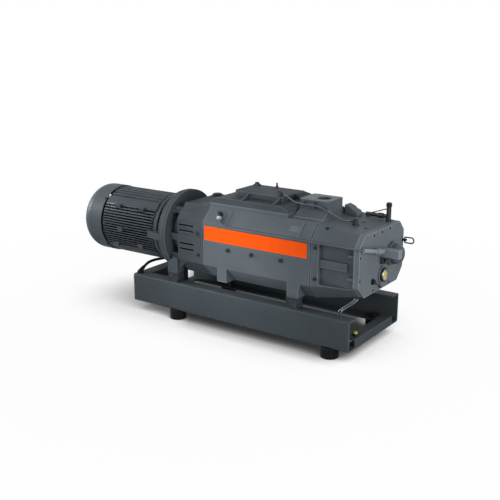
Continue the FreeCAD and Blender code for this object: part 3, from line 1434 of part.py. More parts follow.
def top_cover_bolts():
    """Screws of the cover, in deep seats, and the plug and the stud on its top."""
    z = cover_bolt_seat_z
    screws = [joined([rod_z(6, z, z + 6, x, y), rod_z(4, cover_base_z - 12, z, x, y)])
              for x, y in cover_bolt_places]
    z = cover_top_z + 4
    plug = joined([rod_z(8, z - 16, z, cover_plug_x, cover_plug_y),
                   rod_z(13, z, z + 3, cover_plug_x, cover_plug_y),
                   hexagon(17, 7, V(cover_plug_x, cover_plug_y, z + 3), V(0, 0, 1))])
    z = cover_top_z
    stud = joined([rod_z(4, z - 18, z + 20, cover_stud_x, cover_stud_y),
                   hexagon(13, 6, V(cover_stud_x, cover_stud_y, z), V(0, 0, 1))])
    return Part.makeCompound(screws + [plug, stud])


def inlet_port():
    """Inlet casting: splayed neck, square block with the inlet bore and a rear ramp."""
    x0, x1 = inlet_centre_x - inlet_length / 2, inlet_centre_x + inlet_length / 2
    half = inlet_depth / 2
    z0 = body_top_z
    skirt_x0, skirt_x1 = cover_x1 + 1, cylinder_end_x

    def rectangle(xa, xb, h, z):
        return Part.makePolygon([V(xa, -h, z), V(xb, -h, z), V(xb, h, z), V(xa, h, z),
                                 V(xa, -h, z)])

    skirt = Part.makeLoft([rectangle(skirt_x0, skirt_x1, half + 46, z0),
                           rectangle(x0 + 6, x1 + 2, half + 4, inlet_base_z)], True, True)
    block = box(x0, x1, -half, half, inlet_base_z - 1, inlet_top_z)
    edges = [edge for edge in block.Edges if edge.Length < inlet_top_z - inlet_base_z + 2
             and edge.Length > inlet_top_z - inlet_base_z]
    block = block.makeFillet(5, edges)
    shape = joined([skirt, block])
    cuts = [rod_z(inlet_bore_radius, z0 - 1, inlet_top_z + 1, inlet_bore_x, 0)]
    cuts += [rod_z(5.2, inlet_top_z - 22, inlet_top_z + 1, x, y) for x, y in inlet_bolt_places()]
    cuts += [rod_y(3.7, -half - 1, -half + inlet_screw_length + 1, x, z)
             for x, z in inlet_screw_places]
    return shape.cut(cuts)


def inlet_bolt_places():
    half = inlet_pattern / 2
    return [(inlet_bore_x - 4 + sx * half, sy * half) for sx in (-1, 1) for sy in (-1, 1)]


def vent_block():
    """Sloping purge block behind the inlet, on top of the bearing housing."""
    x0, x1 = rear_ramp
    outline = [(x0, housing_slope(x0)), (x1, housing_slope(x1)), (x1, 491), (x1 - 8, 503),
               (x1 - 24, 509), (x1 - 34, 518), (x0 + 6, 526), (x0, 526)]
    return prism_y(outline, rear_ramp_y[0], rear_ramp_y[1])


def gas_regulator():
    """Upright purge-gas regulator with a level arm, a leg and a thin bypass tube."""
    x, y, z0 = regulator_x, regulator_y, regulator_seat_z
    flat = rod_z(regulator_foot_radius, z0, z0 + 10, x, y)
    post = rod_z(regulator_radius, z0 + 10, 528, x, y)
    arm = rod_x(regulator_arm_radius, regulator_leg_x - regulator_leg_radius, x, y,
                regulator_arm_z)
    leg = rod_z(regulator_leg_radius, regulator_leg_z, regulator_arm_z, regulator_leg_x, y)
    collar = rod_x(regulator_arm_radius + 3, x - 46, x - 24, y, regulator_arm_z)
    spindle = rod_z(4, 528, 534, x, y)
    low = V(regulator_leg_x, y, regulator_arm_z)
    high = V(x, y, bypass_top_z)
    bypass = Part.makeCylinder(bypass_radius, (high - low).Length, low, high - low)
    return joined([flat, post, arm, leg, collar, spindle, bypass])


def regulator_knob():
    """Turning knob on top of the regulator."""
    outline = [(4 + running_gap, 528 + free_gap), (12, 528 + free_gap), (12, 541), (9, 545),
               (0, 545), (0, 535), (4 + running_gap, 535)]
    knob = turned_z(outline, regulator_x, regulator_y)
    grooves = []
    for k in range(8):
        angle = 2 * pi * k / 8
        grooves.append(rod_z(2.2, 526, 546, regulator_x + 13 * cos(angle),
                             regulator_y + 13 * sin(angle)))
    return knob.cut(grooves)


def pipe_union(x, y, base_z, line_end, toward, stem):
    """Banjo union: stem, round body with a hexagon head, and a nipple for a thin line."""
    line_z = line_end.z
    eye = rod_z(10, line_z - 8, line_z + 8, x, y)
    head = hexagon(15, 6, V(x, y, line_z + 8), V(0, 0, 1))
    post = rod_z(stem, base_z, line_z - 8, x, y)
    run = line_end - toward
    nipple = Part.makeCylinder(5, 13, line_end, run)
    return joined([eye, head, post, nipple.cut(eye)])


def gas_fittings():
    """The unions at the two ends of the purge gas line."""
    return Part.makeCompound([
        pipe_union(union_x, union_y, cover_top_z - 10, gas_line_start, gas_line_route[1], 4),
        pipe_union(fitting_x, fitting_y, gas_seat_z, gas_line_end, gas_line_route[-2], 14)])


def metal_lines():
    """Purge gas line from the cover to the housing, two drain tubes and the oil line."""
    lines = [tube_along("gas_line", gas_line_route, gas_line_radius)]
    for shift in (0, 12):
        end_x = 498 + shift
        route = [V(550 + shift, -150, 206), V(544 + shift, -163, 193), V(514 + shift, -181, 168),
                 V(end_x, -187, 152), V(end_x, -187, beam_height)]
        lines.append(tube_along("drain_line", route, drain_radius))
    lines.append(tube_along("level_line", level_line_route, level_line_radius))
    return Part.makeCompound(lines)


def sensor_conduit():
    """Metal-sheathed sensor line along the top of the front face."""
    return tube_along("sensor_conduit", conduit_route, conduit_radius)


def coolant_sleeve():
    """Thicker sleeve across the end plate, with its collar and a nipple at the block."""
    tube = Part.makeCylinder(sleeve_radius, (sleeve_end - sleeve_start).Length, sleeve_start,
                             sleeve_run)
    collar = Part.makeCylinder(12, 24, sleeve_end - sleeve_run * 45, sleeve_run)
    nipple = rod_y(sleeve_radius, sleeve_end.y - 1, block_y0, sleeve_end.x, sleeve_end.z)
    return joined([tube, collar, nipple])


def coolant_valve():
    """Small shut-off valve on the end plate, bored upright for its handle."""
    body = rod_x(valve_body_radius, end_plate_x1, end_plate_x1 + valve_reach, valve_y, valve_z)
    bore = rod_z(handle_radius + running_gap, valve_z - valve_body_radius - 1,
                 valve_z + valve_body_radius + 1, handle_pin_x, valve_y)
    return body.cut(bore)


def valve_lever():
    """Loop of bent rod whose two inward ends turn in the valve's upright bore."""
    x, y, z = handle_pin_x, valve_y, valve_z
    out, up = handle_reach, handle_half_height
    route = [V(x, y, z - handle_end_gap), V(x, y, z - up), V(x + out, y, z - up),
             V(x + out, y, z + up), V(x, y, z + up), V(x, y, z + handle_end_gap)]
    return tube_along("valve_lever", route, handle_radius)


nodes = {
    "base_beam_front": lambda: base_beam(-1),
    "base_beam_rear": lambda: base_beam(1),
    "base_cross_left": base_cross_left,
    "base_cross_right": base_cross_right,
    "machine_feet": machine_feet,
    "mounting_studs": mounting_studs,
    "vibration_mounts": vibration_mounts,
    "motor_frame": motor_frame,
    "motor_end_shield_drive": motor_end_shield_drive,
    "motor_flange_bolts": motor_flange_bolts,
    "motor_end_shield_fan": motor_end_shield_fan,
    "fan_cowl": fan_cowl,
    "motor_screws": motor_screws,
    "cooling_fan": cooling_fan,
    "stator_core": stator_core,
    "stator_windings": stator_windings,
    "motor_rotor_core": motor_rotor_core,
    "motor_shaft": motor_shaft,
    "motor_bearings": motor_bearings,
    "terminal_box": terminal_box,
    "terminal_box_lid": terminal_box_lid,
    "cable_gland": cable_gland,
    "cable_entry": cable_entry,
    "motor_cable": motor_cable,
    "coupling_housing": coupling_housing,
    "inspection_plug": inspection_plug,
    "coupling_hub_motor": coupling_hub_motor,
    "coupling_spider": coupling_spider,
    "coupling_hub_pump": coupling_hub_pump,
    "cylinder_housing": cylinder_housing,
    "screw_plugs": screw_plugs,
    "casing_bolts": casing_bolts,
    "temperature_sensor": temperature_sensor,
    "exhaust_flange": exhaust_flange,
    "screw_rotor_drive": screw_rotor_drive,
    "screw_rotor_driven": screw_rotor_driven,
    "pump_bearings": pump_bearings,
    "shaft_seals": shaft_seals,
    "timing_gear_drive": lambda: timing_gear(drive_y, 0),
    "timing_gear_driven": lambda: timing_gear(driven_y, 0.5),
    "bearing_housing": bearing_housing,
    "end_plate": end_plate,
    "end_plate_bolts": end_plate_bolts,
    "sight_glass_ring": sight_glass_ring,
    "sight_glass_lens": sight_glass_lens,
    "shaft_end_cover": shaft_end_cover,
    "valve_block": valve_block,
    "top_cover": top_cover,
    "top_cover_bolts": top_cover_bolts,
    "inlet_port": inlet_port,
    "vent_block": vent_block,
    "gas_regulator": gas_regulator,
    "regulator_knob": regulator_knob,
    "gas_fittings": gas_fittings,
    "metal_lines": metal_lines,
    "sensor_conduit": sensor_conduit,
    "coolant_sleeve": coolant_sleeve,
    "coolant_valve": coolant_valve,
    "valve_lever": valve_lever,
}

middle_x = (cowl_end_x + end_plate_x1 + block_reach) / 2
middle_y = (drive_y - ear_reach + exhaust_face_y + exhaust_reach) / 2
to_origin = V(-middle_x, -middle_y, foot_height)

os.makedirs("parts", exist_ok=True)
for name, make in nodes.items():
    shape = make()
    shape.translate(to_origin)
    shape.exportStep("parts/" + name + ".step")
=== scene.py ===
"""Looks of a dry screw vacuum pump: paint, metal and rubber finishes, rounded castings,
the bare orange band, screws, sight glass, supply cable, and the pale studio around it.
"""
import math
from collections import namedtuple

import bmesh
import bpy
import numpy as np
from bpy.props import FloatProperty, FloatVectorProperty, PointerProperty
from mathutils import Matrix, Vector


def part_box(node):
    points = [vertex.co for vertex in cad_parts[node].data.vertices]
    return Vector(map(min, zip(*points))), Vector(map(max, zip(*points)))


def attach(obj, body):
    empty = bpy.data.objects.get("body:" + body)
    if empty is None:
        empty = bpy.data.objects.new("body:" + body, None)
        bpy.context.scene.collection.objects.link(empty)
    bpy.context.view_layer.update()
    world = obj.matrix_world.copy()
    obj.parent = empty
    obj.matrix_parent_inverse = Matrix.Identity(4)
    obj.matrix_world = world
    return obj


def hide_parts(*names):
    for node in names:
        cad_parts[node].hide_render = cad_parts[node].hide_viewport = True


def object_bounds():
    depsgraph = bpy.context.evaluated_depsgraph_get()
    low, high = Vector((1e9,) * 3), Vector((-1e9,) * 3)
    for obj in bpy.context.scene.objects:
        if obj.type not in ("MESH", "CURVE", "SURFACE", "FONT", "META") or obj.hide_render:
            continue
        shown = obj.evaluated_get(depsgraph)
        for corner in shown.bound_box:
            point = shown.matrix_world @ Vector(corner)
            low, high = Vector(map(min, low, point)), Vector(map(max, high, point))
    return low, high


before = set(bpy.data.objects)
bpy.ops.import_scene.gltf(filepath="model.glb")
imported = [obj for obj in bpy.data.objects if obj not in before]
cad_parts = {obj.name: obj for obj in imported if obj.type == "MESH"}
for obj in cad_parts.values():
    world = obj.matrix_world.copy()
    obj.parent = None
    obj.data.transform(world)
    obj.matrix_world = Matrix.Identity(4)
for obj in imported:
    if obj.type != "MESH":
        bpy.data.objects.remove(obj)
CAD_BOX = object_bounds()

bl_info = {
    "name": "Screw Vacuum Pump Looks",
    "version": (1, 0, 0),
    "blender": (4, 5, 0),
    "location": "3D View > Sidebar > Pump",
    "description": "Builds the finishes and the fine pieces of a dry screw vacuum pump",
    "category": "Object",
}

MM = 0.001
MACHINE = "machine"

# The middle of the base at the underside of its beams, from which places are counted
front_low, front_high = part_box("base_beam_front")
rear_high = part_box("base_beam_rear")[1]
BASE_MIDDLE = Vector(((front_low.x + front_high.x) / 2,
                      (front_low.y + rear_high.y) / 2,
                      front_low.z))

# Camera, worked out from the edges of the base in the photograph
CAMERA_TARGET = (-61.9, 0, 272.2)
CAMERA_AZIMUTH = math.radians(34.99)
CAMERA_ELEVATION = math.radians(15.62)
CAMERA_DISTANCE = 3.682
CAMERA_FAR_CLIP = 60.0
SENSOR_WIDTH = 36.0
FOCAL_PIXELS = 821.06
PHOTO_PIXELS = 500

# Name, place, aim, size in metres, power in watts and spread in degrees of each lamp
LAMPS = (
    ("front", (-0.5, -3.0, 1.1), (0, 0, 0.35), 1.6, 9.0, 150),
    ("sheen", (0.45, -2.7, 0.60), (0.06, -0.2, 0.38), 0.5, 0.5, 16),
    ("right", (3.1, -0.9, 0.9), (0.5, 0, 0.35), 1.2, 16.0, 120),
    ("left", (-3.2, -1.0, 1.3), (-0.72, -0.07, 0.4), 0.8, 6.0, 40),
    ("back", (0.5, 3.0, 0.55), (0, 0, 0.35), 1.6, 6.0, 150),
    ("top", (-0.2, 0.9, 3.0), (0, 0, 0.4), 2.6, 1.5, 150),
)
SKY_COLOUR = (0.92, 0.95, 1.0, 1)
SKY_LEVEL = 0.36
WHITE = (1, 1, 1, 1)

# Floor: grey under the lamps. The camera sees it glow white instead, by the share
# FLOOR_GLOW near the machine and wholly from the far end of FLOOR_GLOW_RANGE on.
FLOOR_REACH = 12.0
FLOOR_GAP = 0.0005
FLOOR_GREY = (0.6, 0.6, 0.6, 1)
FLOOR_GLOW = 0.97
FLOOR_GLOW_RANGE = (1.0, 2.0)
# The soft shadow in that glow, which leans away from the brighter side
SHADOW_TONE = (0.02, 0.02, 0.02, 1)
SHADOW_REACH = 0.45
SHADOW_LEAN = (0.5, -0.3, 1.0)
SHADOW_RANGE = (0.28, 0.80)
# The painted shadow patch behind the base: axis, offset from the middle, half length and fade.
# The first limit runs slanted, by so much along x for each metre along y.
SHADOW_PATCH_SLANT = 0.7
SHADOW_PATCH_DEPTH = 0.9
SLANTED_LIMIT = ("X", 0.06, 0.46, 0.10)
DEPTH_LIMIT = ("Y", 0.12, 0.27, 0.15)
LENGTH_LIMIT = ("X", -0.20, 0.62, 0.12)

# Rounding and smoothing of the meshes
MERGE_DISTANCE = 0.00002
FLAT_ANGLE = math.radians(0.6)
BEVEL_ANGLE = math.radians(38)
SHARP_ANGLE = math.radians(30)
BEVEL_SEGMENTS = 2
LATHE_SIDES = 48
# A face is a casting's level top if its normal is this upright and it lies this near the top
LEVEL_NORMAL = 0.99
TOP_DEPTH = 0.0005

# Supply cable: the points of its route in millimetres
CABLE_ROUTE = ((-546, 130, 250), (-546, 130, 222), (-545, 108, 183), (-541, 62, 165),
               (-543, 14, 161), (-545, -34, 162), (-547, -78, 167.5), (-549, -115, 168.5),
               (-550, -146.4, 164.4), (-550, -171.1, 151.2))
CABLE_ORDER = 3
CABLE_STEPS = 16
CABLE_RING_STEPS = 6

# Screws: kind, sides of the head, and radius of its recess as a share of the head's.
# A head whose rim has no more corners than HEXAGON_CORNERS is a hexagon.
SOCKET_SIDES = 24
HEXAGON_SIDES = 6
SCREW_KINDS = (("socket", SOCKET_SIDES, 0.48), ("hexagon", HEXAGON_SIDES, 0.12))
RECESS_SHARE = 0.48
RECESS_DEPTH = 0.55
SCREW_EDGE = 0.0006
RIM_SHARE = 0.97
HEXAGON_CORNERS = 12

# Places on the pump, in millimetres from the middle of the base
PUMP_FRONT_Y = -207.0
CHAMFER_FOOT_Z = 430.0
CHAMFER_SIZE = 57.0
FILM_GAP = 0.02
BAND_X = (-157.0, 358.0)
BAND_Z = (350.5, 413.0)
BAND_THICKNESS = 0.5
PLATE_X = (262.0, 306.0)
PLATE_ON_CHAMFER = (0.30, 0.62)
PLATE_THICKNESS = 0.7
EARTH_BOLT_TOP = (544.0, -128.0, 50.2)
SENSOR_FOOT = (-77.5, -205.9, 453.4)
SENSOR_AXIS = (0.45, -0.55, -0.70)

# Outlines of the turned pieces: (along, out) pairs in millimetres
RIM_OUTLINE = ((0, 24.2), (0, 30), (6, 30), (8, 28.6), (8.6, 25.4), (7.8, 24.2))
BEZEL_OUTLINE = ((0, 18.3), (0, 24.1), (9, 24.1), (10, 23.0), (9.8, 21.6), (8.2, 18.3))
DOME_OUTLINE = ((-2, 0), (-2, 18.2), (6.4, 18.2), (7.9, 13), (8.8, 7), (9.1, 0))
CAP_OUTLINE = ((0, 0), (0, 8.6), (5.5, 8.6), (7.6, 7.6), (8.6, 5.2), (9, 0))
COLLAR_OUTLINE = ((-9, 8.6), (-9, 10), (0.6, 10), (2.2, 8.4), (2.2, 0))

# Noise scales of the painted peel, and the grain below which a coat is a smooth one
FINE_PEEL = 900.0
COARSE_PEEL = 420.0
SMOOTH_COAT = 0.3

ScrewHead = namedtuple("ScrewHead", "seat axis radius height sides")


def at(x, y, z):
    """A place in the row frame, from millimetres counted from the middle of the base."""
    return BASE_MIDDLE + Vector((x, y, z)) * MM


# Shader maths

class Signal:
    """A node socket that carries a number, with arithmetic that adds Math nodes."""

    def __init__(self, finish, socket):
        self.finish = finish
        self.socket = socket

    def _maths(self, operation, *values):
        return self.finish.add("ShaderNodeMath", {"operation": operation},
                               dict(enumerate(values)))

    def __add__(self, other):
        return self._maths("ADD", self, other)

    def __radd__(self, other):
        return self._maths("ADD", other, self)

    def __sub__(self, other):
        return self._maths("SUBTRACT", self, other)

    def __rsub__(self, other):
        return self._maths("SUBTRACT", other, self)

    def __mul__(self, other):
        return self._maths("MULTIPLY", self, other)

    def __rmul__(self, other):
        return self._maths("MULTIPLY", other, self)

    def limited(self):
        """The number held between zero and one."""
        return self.finish.add("ShaderNodeClamp", {}, {"Value": self})

    def ramp(self, low, high, to_low=0.0, to_high=1.0):
        """The number mapped from low..high to to_low..to_high, and held there outside."""
        return self.finish.add("ShaderNodeMapRange", {"clamp": True},
                               {"Value": self, "From Min": low, "From Max": high,
                                "To Min": to_low, "To Max": to_high})


class Finish:
    """A material under construction, with one method that adds any node."""

    def __init__(self, name):
        self.material = bpy.data.materials.new(name)
        self.material.use_nodes = True
        self.tree = self.material.node_tree
        self.tree.nodes.clear()

    def add(self, kind, settings, sockets, output=0):
        """Any node: its settings first, then the values or the links of its sockets."""
        node = self.tree.nodes.new(kind)
        for key, value in settings.items():
            setattr(node, key, value)
        for key, value in sockets.items():
            if isinstance(value, Signal):
                self.tree.links.new(value.socket, node.inputs[key])
            else:
                node.inputs[key].default_value = value
        return Signal(self, node.outputs[output])

    def place(self, scale=(1, 1, 1)):
        """Object coordinates, stretched to draw a grain out along an axis."""
        spot = self.add("ShaderNodeTexCoord", {}, {}, "Object")
        return self.add("ShaderNodeMapping", {}, {"Vector": spot, "Scale": scale})

    def noise(self, scale, detail=3.0, stretch=(1, 1, 1)):
        """A soft random pattern, finer with a larger scale."""
        return self.add("ShaderNodeTexNoise", {},
                        {"Vector": self.place(stretch), "Scale": scale, "Detail": detail})

    def blend(self, share, first, second):
        """A colour between two colours."""
        return self.add("ShaderNodeMix", {"data_type": "RGBA"},
                        {"Factor": share, 6: first, 7: second}, 2)

    def facing_up(self):
        """One where the surface looks up, and zero where it is upright or looks down."""
        normal = self.add("ShaderNodeTexCoord", {}, {}, "Normal")
        upward = self.add("ShaderNodeSeparateXYZ", {}, {"Vector": normal}, "Z")
        return upward.ramp(0.55, 1.0)

    def corners(self, reach):
        """One in the open, and less in grooves and inner corners."""
        return self.add("ShaderNodeAmbientOcclusion", {"samples": 6}, {"Distance": reach}, "AO")

    def edges(self, reach):
        """One along outer edges, and zero on the faces between them."""
        inner = self.add("ShaderNodeAmbientOcclusion", {"samples": 6, "inside": True},
                         {"Distance": reach}, "AO")
        return inner.ramp(0.55, 0.95, 1.0, 0.0)

    def leaning_corners(self, reach, lean):
        """Like corners, but looking to one side, so that a shadow falls to the other."""
        x, y, z = Vector(lean).normalized()
        aim = self.add("ShaderNodeCombineXYZ", {}, {"X": x, "Y": y, "Z": z})
        return self.add("ShaderNodeAmbientOcclusion", {"samples": 6},
                        {"Distance": reach, "Normal": aim}, "AO")

    def near(self, spot, limit):
        """One near the middle of the base along an axis, fading to zero past a limit."""
        axis, offset, half, fade = limit
        middle = getattr(BASE_MIDDLE, axis.lower()) + offset
        along = self.add("ShaderNodeSeparateXYZ", {}, {"Vector": spot}, axis)
        away = self.add("ShaderNodeMath", {"operation": "ABSOLUTE"}, {0: along - middle})
        return away.ramp(half, half + fade, 1.0, 0.0)

    def bump(self, height, strength, distance):
        """Relief for the Normal socket."""
        return self.add("ShaderNodeBump", {},
                        {"Height": height, "Strength": strength, "Distance": distance})

    def principled(self, sockets):
        """The finished material from the sockets of one Principled shader."""
        return self.done(self.add("ShaderNodeBsdfPrincipled", {}, sockets))

    def done(self, surface):
        """The finished material."""
        end = self.tree.nodes.new("ShaderNodeOutputMaterial")
        self.tree.links.new(surface.socket, end.inputs["Surface"])
        return self.material


def shade(colour, factor):
    """A colour made lighter or darker."""
    return tuple(min(1.0, part * factor) for part in colour[:3]) + (1.0,)


def painted(name, colour, grain, roughness=0.45, sheen=0.1, highlit_worn_edge=0.0035):
    """Sprayed paint: cloudy tone, orange peel, painted shade in corners, dust, and worn edges
    that also carry a painted highlight.

    The worn edge, with its painted highlight, stays narrower than the thinnest wall that
    carries the paint.
    """
    finish = Finish(name)
    cloud = finish.noise(scale=7.0, detail=4.0)
    speck = finish.noise(scale=240.0, detail=2.0)
    peel = finish.noise(scale=FINE_PEEL if grain < SMOOTH_COAT else COARSE_PEEL)
    lumps = finish.noise(scale=95.0, detail=2.0)
    dust = finish.facing_up() * cloud.ramp(0.35, 0.7) * 0.3
    # Painted shade: the paint turns darker in grooves and inner corners
    unshaded = finish.corners(reach=0.03).ramp(0.25, 0.8)
    # Worn edges painted lighter, which also serve as a painted highlight along the edges
    wear_and_highlight = finish.edges(highlit_worn_edge) * cloud.ramp(0.2, 0.6, 0.4, 0.9)
    toned = finish.blend(cloud.ramp(0.3, 0.7), shade(colour, 0.92), shade(colour, 1.08))
    corner_shaded = finish.blend(unshaded, shade(colour, 0.45), toned)
    dusty = finish.blend(dust, corner_shaded, shade(colour, 1.35))
    worn_and_highlit = finish.blend(wear_and_highlight, dusty, shade(colour, 2.2))
    height = peel * (1.0 - grain) + lumps * grain
    return finish.principled({
        "Base Color": worn_and_highlit,
        "Specular IOR Level": sheen,
        "Roughness": (speck * 0.12 + cloud * 0.1 + dust * 0.4 + (roughness - 0.1)).limited(),
        "Normal": finish.bump(height, strength=0.10 + 0.25 * grain, distance=0.0006),
    })


def moulded_rubber(name, colour, roughness=0.72):
    """Dull rubber with chalky patches and a fine skin."""
    finish = Finish(name)
    bloom = finish.noise(scale=45.0, detail=4.0)
    skin = finish.noise(scale=1100.0, detail=2.0)
    return finish.principled({
        "Base Color": finish.blend(bloom.ramp(0.4, 0.75), colour, shade(colour, 2.2)),
        "Specular IOR Level": 0.12,
        "Roughness": (bloom * 0.16 + (roughness - 0.08)).limited(),
        "Normal": finish.bump(skin, strength=0.2, distance=0.0004),
    })


def bare_metal(name, colour, roughness, stretch=(1, 1, 1), stain=0.25):
    """Turned, drawn or plated metal with a directional grain and faint stains."""
    finish = Finish(name)
    grain = finish.noise(scale=700.0, stretch=stretch)
    cloud = finish.noise(scale=28.0, detail=4.0)
    return finish.principled({
        "Base Color": finish.blend(cloud.ramp(0.45, 0.75) * stain, colour, shade(colour, 0.45)),
        "Metallic": 1.0,
        "Roughness": (grain * 0.16 + cloud * 0.12 + (roughness - 0.12)).limited(),
        "Normal": finish.bump(grain, strength=0.12, distance=0.0003),
    })


def banded_metal(name, colour, dark, pitch, metallic):
    """Stacked sheets or wound wire: fine bands along the shafts."""
    finish = Finish(name)
    bands = finish.add("ShaderNodeTexWave", {"wave_type": "BANDS", "bands_direction": "X"},
                       {"Vector": finish.place(), "Scale": 0.3 / pitch, "Distortion": 0.6},
                       "Fac")
    return finish.principled({
        "Base Color": finish.blend(bands, dark, colour),
        "Metallic": metallic,
        "Roughness": (0.6 - bands * 0.2).limited(),
        "Normal": finish.bump(bands, strength=0.5, distance=pitch * 0.3),
    })


def oily_glass(name, colour):
    """Glass wet with yellow oil: cloudy tone, a clear coat and a faint glow."""
    finish = Finish(name)
    cloud = finish.noise(scale=60.0)
    oil = finish.blend(cloud.ramp(0.35, 0.7), shade(colour, 0.75), colour)
    return finish.principled({
        "Base Color": oil,
        "Roughness": (cloud * 0.06 + 0.02).limited(),
        "Coat Weight": 0.6,
        "Emission Color": oil,
        "Emission Strength": 0.08,
    })


def coloured_film(name, colour):
    """Vinyl film: even colour, faint ripples and a soft gloss."""
    finish = Finish(name)
    ripple = finish.noise(scale=30.0, detail=2.0)
    speck = finish.noise(scale=600.0, detail=2.0)
    return finish.principled({
        "Base Color": finish.blend(ripple.ramp(0.3, 0.7), shade(colour, 0.96), colour),
        "Specular IOR Level": 0.12,
        "Roughness": (speck * 0.08 + ripple * 0.08 + 0.26).limited(),
        "Normal": finish.bump(ripple, strength=0.05, distance=0.0008),
    })


class PumpLooks(bpy.types.PropertyGroup):
    """Colours and sizes of the dressed pump."""

    casting_colour: FloatVectorProperty(
        name="Casting paint", description="Paint of the pump castings",
        subtype="COLOR", size=4, min=0, max=1, default=(0.105, 0.122, 0.138, 1))
    motor_colour: FloatVectorProperty(
        name="Motor paint", description="Paint of the motor",
        subtype="COLOR", size=4, min=0, max=1, default=(0.062, 0.074, 0.085, 1))
    plate_colour: FloatVectorProperty(
        name="End plate paint", description="Lighter paint of the end plate",
        subtype="COLOR", size=4, min=0, max=1, default=(0.155, 0.177, 0.196, 1))
    base_colour: FloatVectorProperty(
        name="Base paint", description="Darker coat of the base frame",
        subtype="COLOR", size=4, min=0, max=1, default=(0.060, 0.073, 0.082, 1))
    band_colour: FloatVectorProperty(
        name="Band", description="Colour of the bare band on the pump's front",
        subtype="COLOR", size=4, min=0, max=1, default=(1.0, 0.10, 0.004, 1))
    edge_radius: FloatProperty(
        name="Cast edges", description="Rounding of the castings' edges",
        subtype="DISTANCE", unit="LENGTH", min=0.0002, max=0.006, default=0.0022)
    cable_diameter: FloatProperty(
        name="Cable", description="Diameter of the supply cable",
        subtype="DISTANCE", unit="LENGTH", min=0.004, max=0.02, default=0.013)
    light_level: FloatProperty(
        name="Light", description="Level of the studio lamps",
        min=0.1, max=5, default=1.0)


def finishes(looks):
    """The materials of the machine by name."""
    steel = (0.56, 0.57, 0.58, 1)
    dark_steel = (0.36, 0.37, 0.38, 1)
    return {
        "casting": painted("casting_paint", looks.casting_colour, grain=0.55),
        "lantern": painted("lantern_paint", shade(looks.casting_colour, 0.62), grain=0.5,
                           roughness=0.5, sheen=0.05),
        "motor": painted("motor_paint", looks.motor_colour, grain=0.25, roughness=0.42,
                         highlit_worn_edge=0.0012),
        "cowl": painted("cowl_paint", shade(looks.motor_colour, 1.22), grain=0.1,
                        roughness=0.42, highlit_worn_edge=0.001),
        "plate": painted("plate_paint", looks.plate_colour, grain=0.4, roughness=0.5),
        "base": painted("base_paint", looks.base_colour, grain=0.12, roughness=0.5),
        "rubber": moulded_rubber("black_rubber", (0.007, 0.0085, 0.010, 1)),
        "mount": moulded_rubber("mount_rubber", (0.030, 0.035, 0.041, 1)),
        "sheath": moulded_rubber("cable_sheath", (0.012, 0.012, 0.013, 1), roughness=0.55),
        "elastomer": moulded_rubber("spider_rubber", (0.30, 0.03, 0.015, 1), roughness=0.6),
        "plastic": moulded_rubber("black_plastic", (0.020, 0.021, 0.022, 1), roughness=0.5),
        "zinc": bare_metal("zinc_steel", steel, roughness=0.38),
        "nickel": bare_metal("nickel_ring", (0.5, 0.5, 0.48, 1), roughness=0.25, stain=0.2),
        "machined": bare_metal("machined_iron", (0.13, 0.14, 0.145, 1), roughness=0.55,
                               stretch=(1, 8, 1), stain=0.4),
        "dark_steel": bare_metal("dark_steel", (0.055, 0.06, 0.065, 1), roughness=0.5),
        "block": painted("valve_paint", shade(looks.plate_colour, 1.6), grain=0.2),
        "earth": moulded_rubber("earth_cap", (0.42, 0.55, 0.03, 1), roughness=0.5),
        "blank": painted("blank_plate", shade(looks.casting_colour, 1.35), grain=0.05,
                         roughness=0.4, highlit_worn_edge=0.0003),
        "turned": bare_metal("turned_steel", steel, roughness=0.30, stretch=(1, 12, 12)),
        "tube": bare_metal("dull_tube", (0.13, 0.142, 0.155, 1), roughness=0.42,
                           stretch=(0.1, 1, 1), stain=0.3),
        "rotor": bare_metal("rotor_iron", dark_steel, roughness=0.42, stretch=(1, 6, 6),
                            stain=0.5),
        "laminations": banded_metal("laminations", steel, dark=(0.08, 0.08, 0.09, 1),
                                    pitch=0.0014, metallic=0.9),
        "winding": banded_metal("copper_winding", (0.55, 0.22, 0.08, 1),
                                dark=(0.12, 0.05, 0.03, 1), pitch=0.0022, metallic=0.7),
        "glass": oily_glass("sight_glass", (0.72, 0.58, 0.16, 1)),
        "band": coloured_film("orange_film", looks.band_colour),
    }


# The CAD nodes that carry each finish
NODE_FINISH = {
    "base": ["base_beam_front", "base_beam_rear", "base_cross_left", "base_cross_right"],
    "rubber": ["machine_feet", "cable_entry", "shaft_seals"],
    "mount": ["vibration_mounts"],
    "motor": ["motor_frame", "motor_end_shield_drive", "motor_end_shield_fan",
              "terminal_box", "terminal_box_lid"],
    "cowl": ["fan_cowl"],
    "casting": ["cylinder_housing", "bearing_housing", "inlet_port", "vent_block",
                "exhaust_flange", "shaft_end_cover", "sensor_conduit"],
    "lantern": ["coupling_housing", "top_cover"],
    "plate": ["end_plate"],
    "block": ["valve_block", "coolant_sleeve"],
    "zinc": ["motor_flange_bolts"],
    "dark_steel": ["motor_screws", "screw_plugs", "casing_bolts", "end_plate_bolts",
                   "sight_glass_ring", "top_cover_bolts", "gas_regulator", "gas_fittings",
                   "coolant_valve", "mounting_studs", "temperature_sensor"],
    "turned": ["motor_shaft", "motor_bearings", "coupling_hub_motor", "coupling_hub_pump",
               "pump_bearings", "timing_gear_drive", "timing_gear_driven"],
    "tube": ["metal_lines", "valve_lever"],
    "plastic": ["cooling_fan", "cable_gland", "inspection_plug", "regulator_knob"],
    "elastomer": ["coupling_spider"],
    "rotor": ["screw_rotor_drive", "screw_rotor_driven"],
    "laminations": ["stator_core", "motor_rotor_core"],
    "winding": ["stator_windings"],
    "glass": ["sight_glass_lens"],
    "sheath": ["motor_cable"],
}
# The CAD nodes that a copy with rounded edges replaces, by finish
ROUNDED_NODES = {
    "casting": ["cylinder_housing", "bearing_housing", "inlet_port", "vent_block"],
    "lantern": ["coupling_housing", "top_cover"],
    "plate": ["end_plate"],
    "block": ["valve_block"],
    "motor": ["motor_end_shield_drive", "motor_frame"],
    "base": ["base_beam_front", "base_beam_rear", "base_cross_left", "base_cross_right"],
}
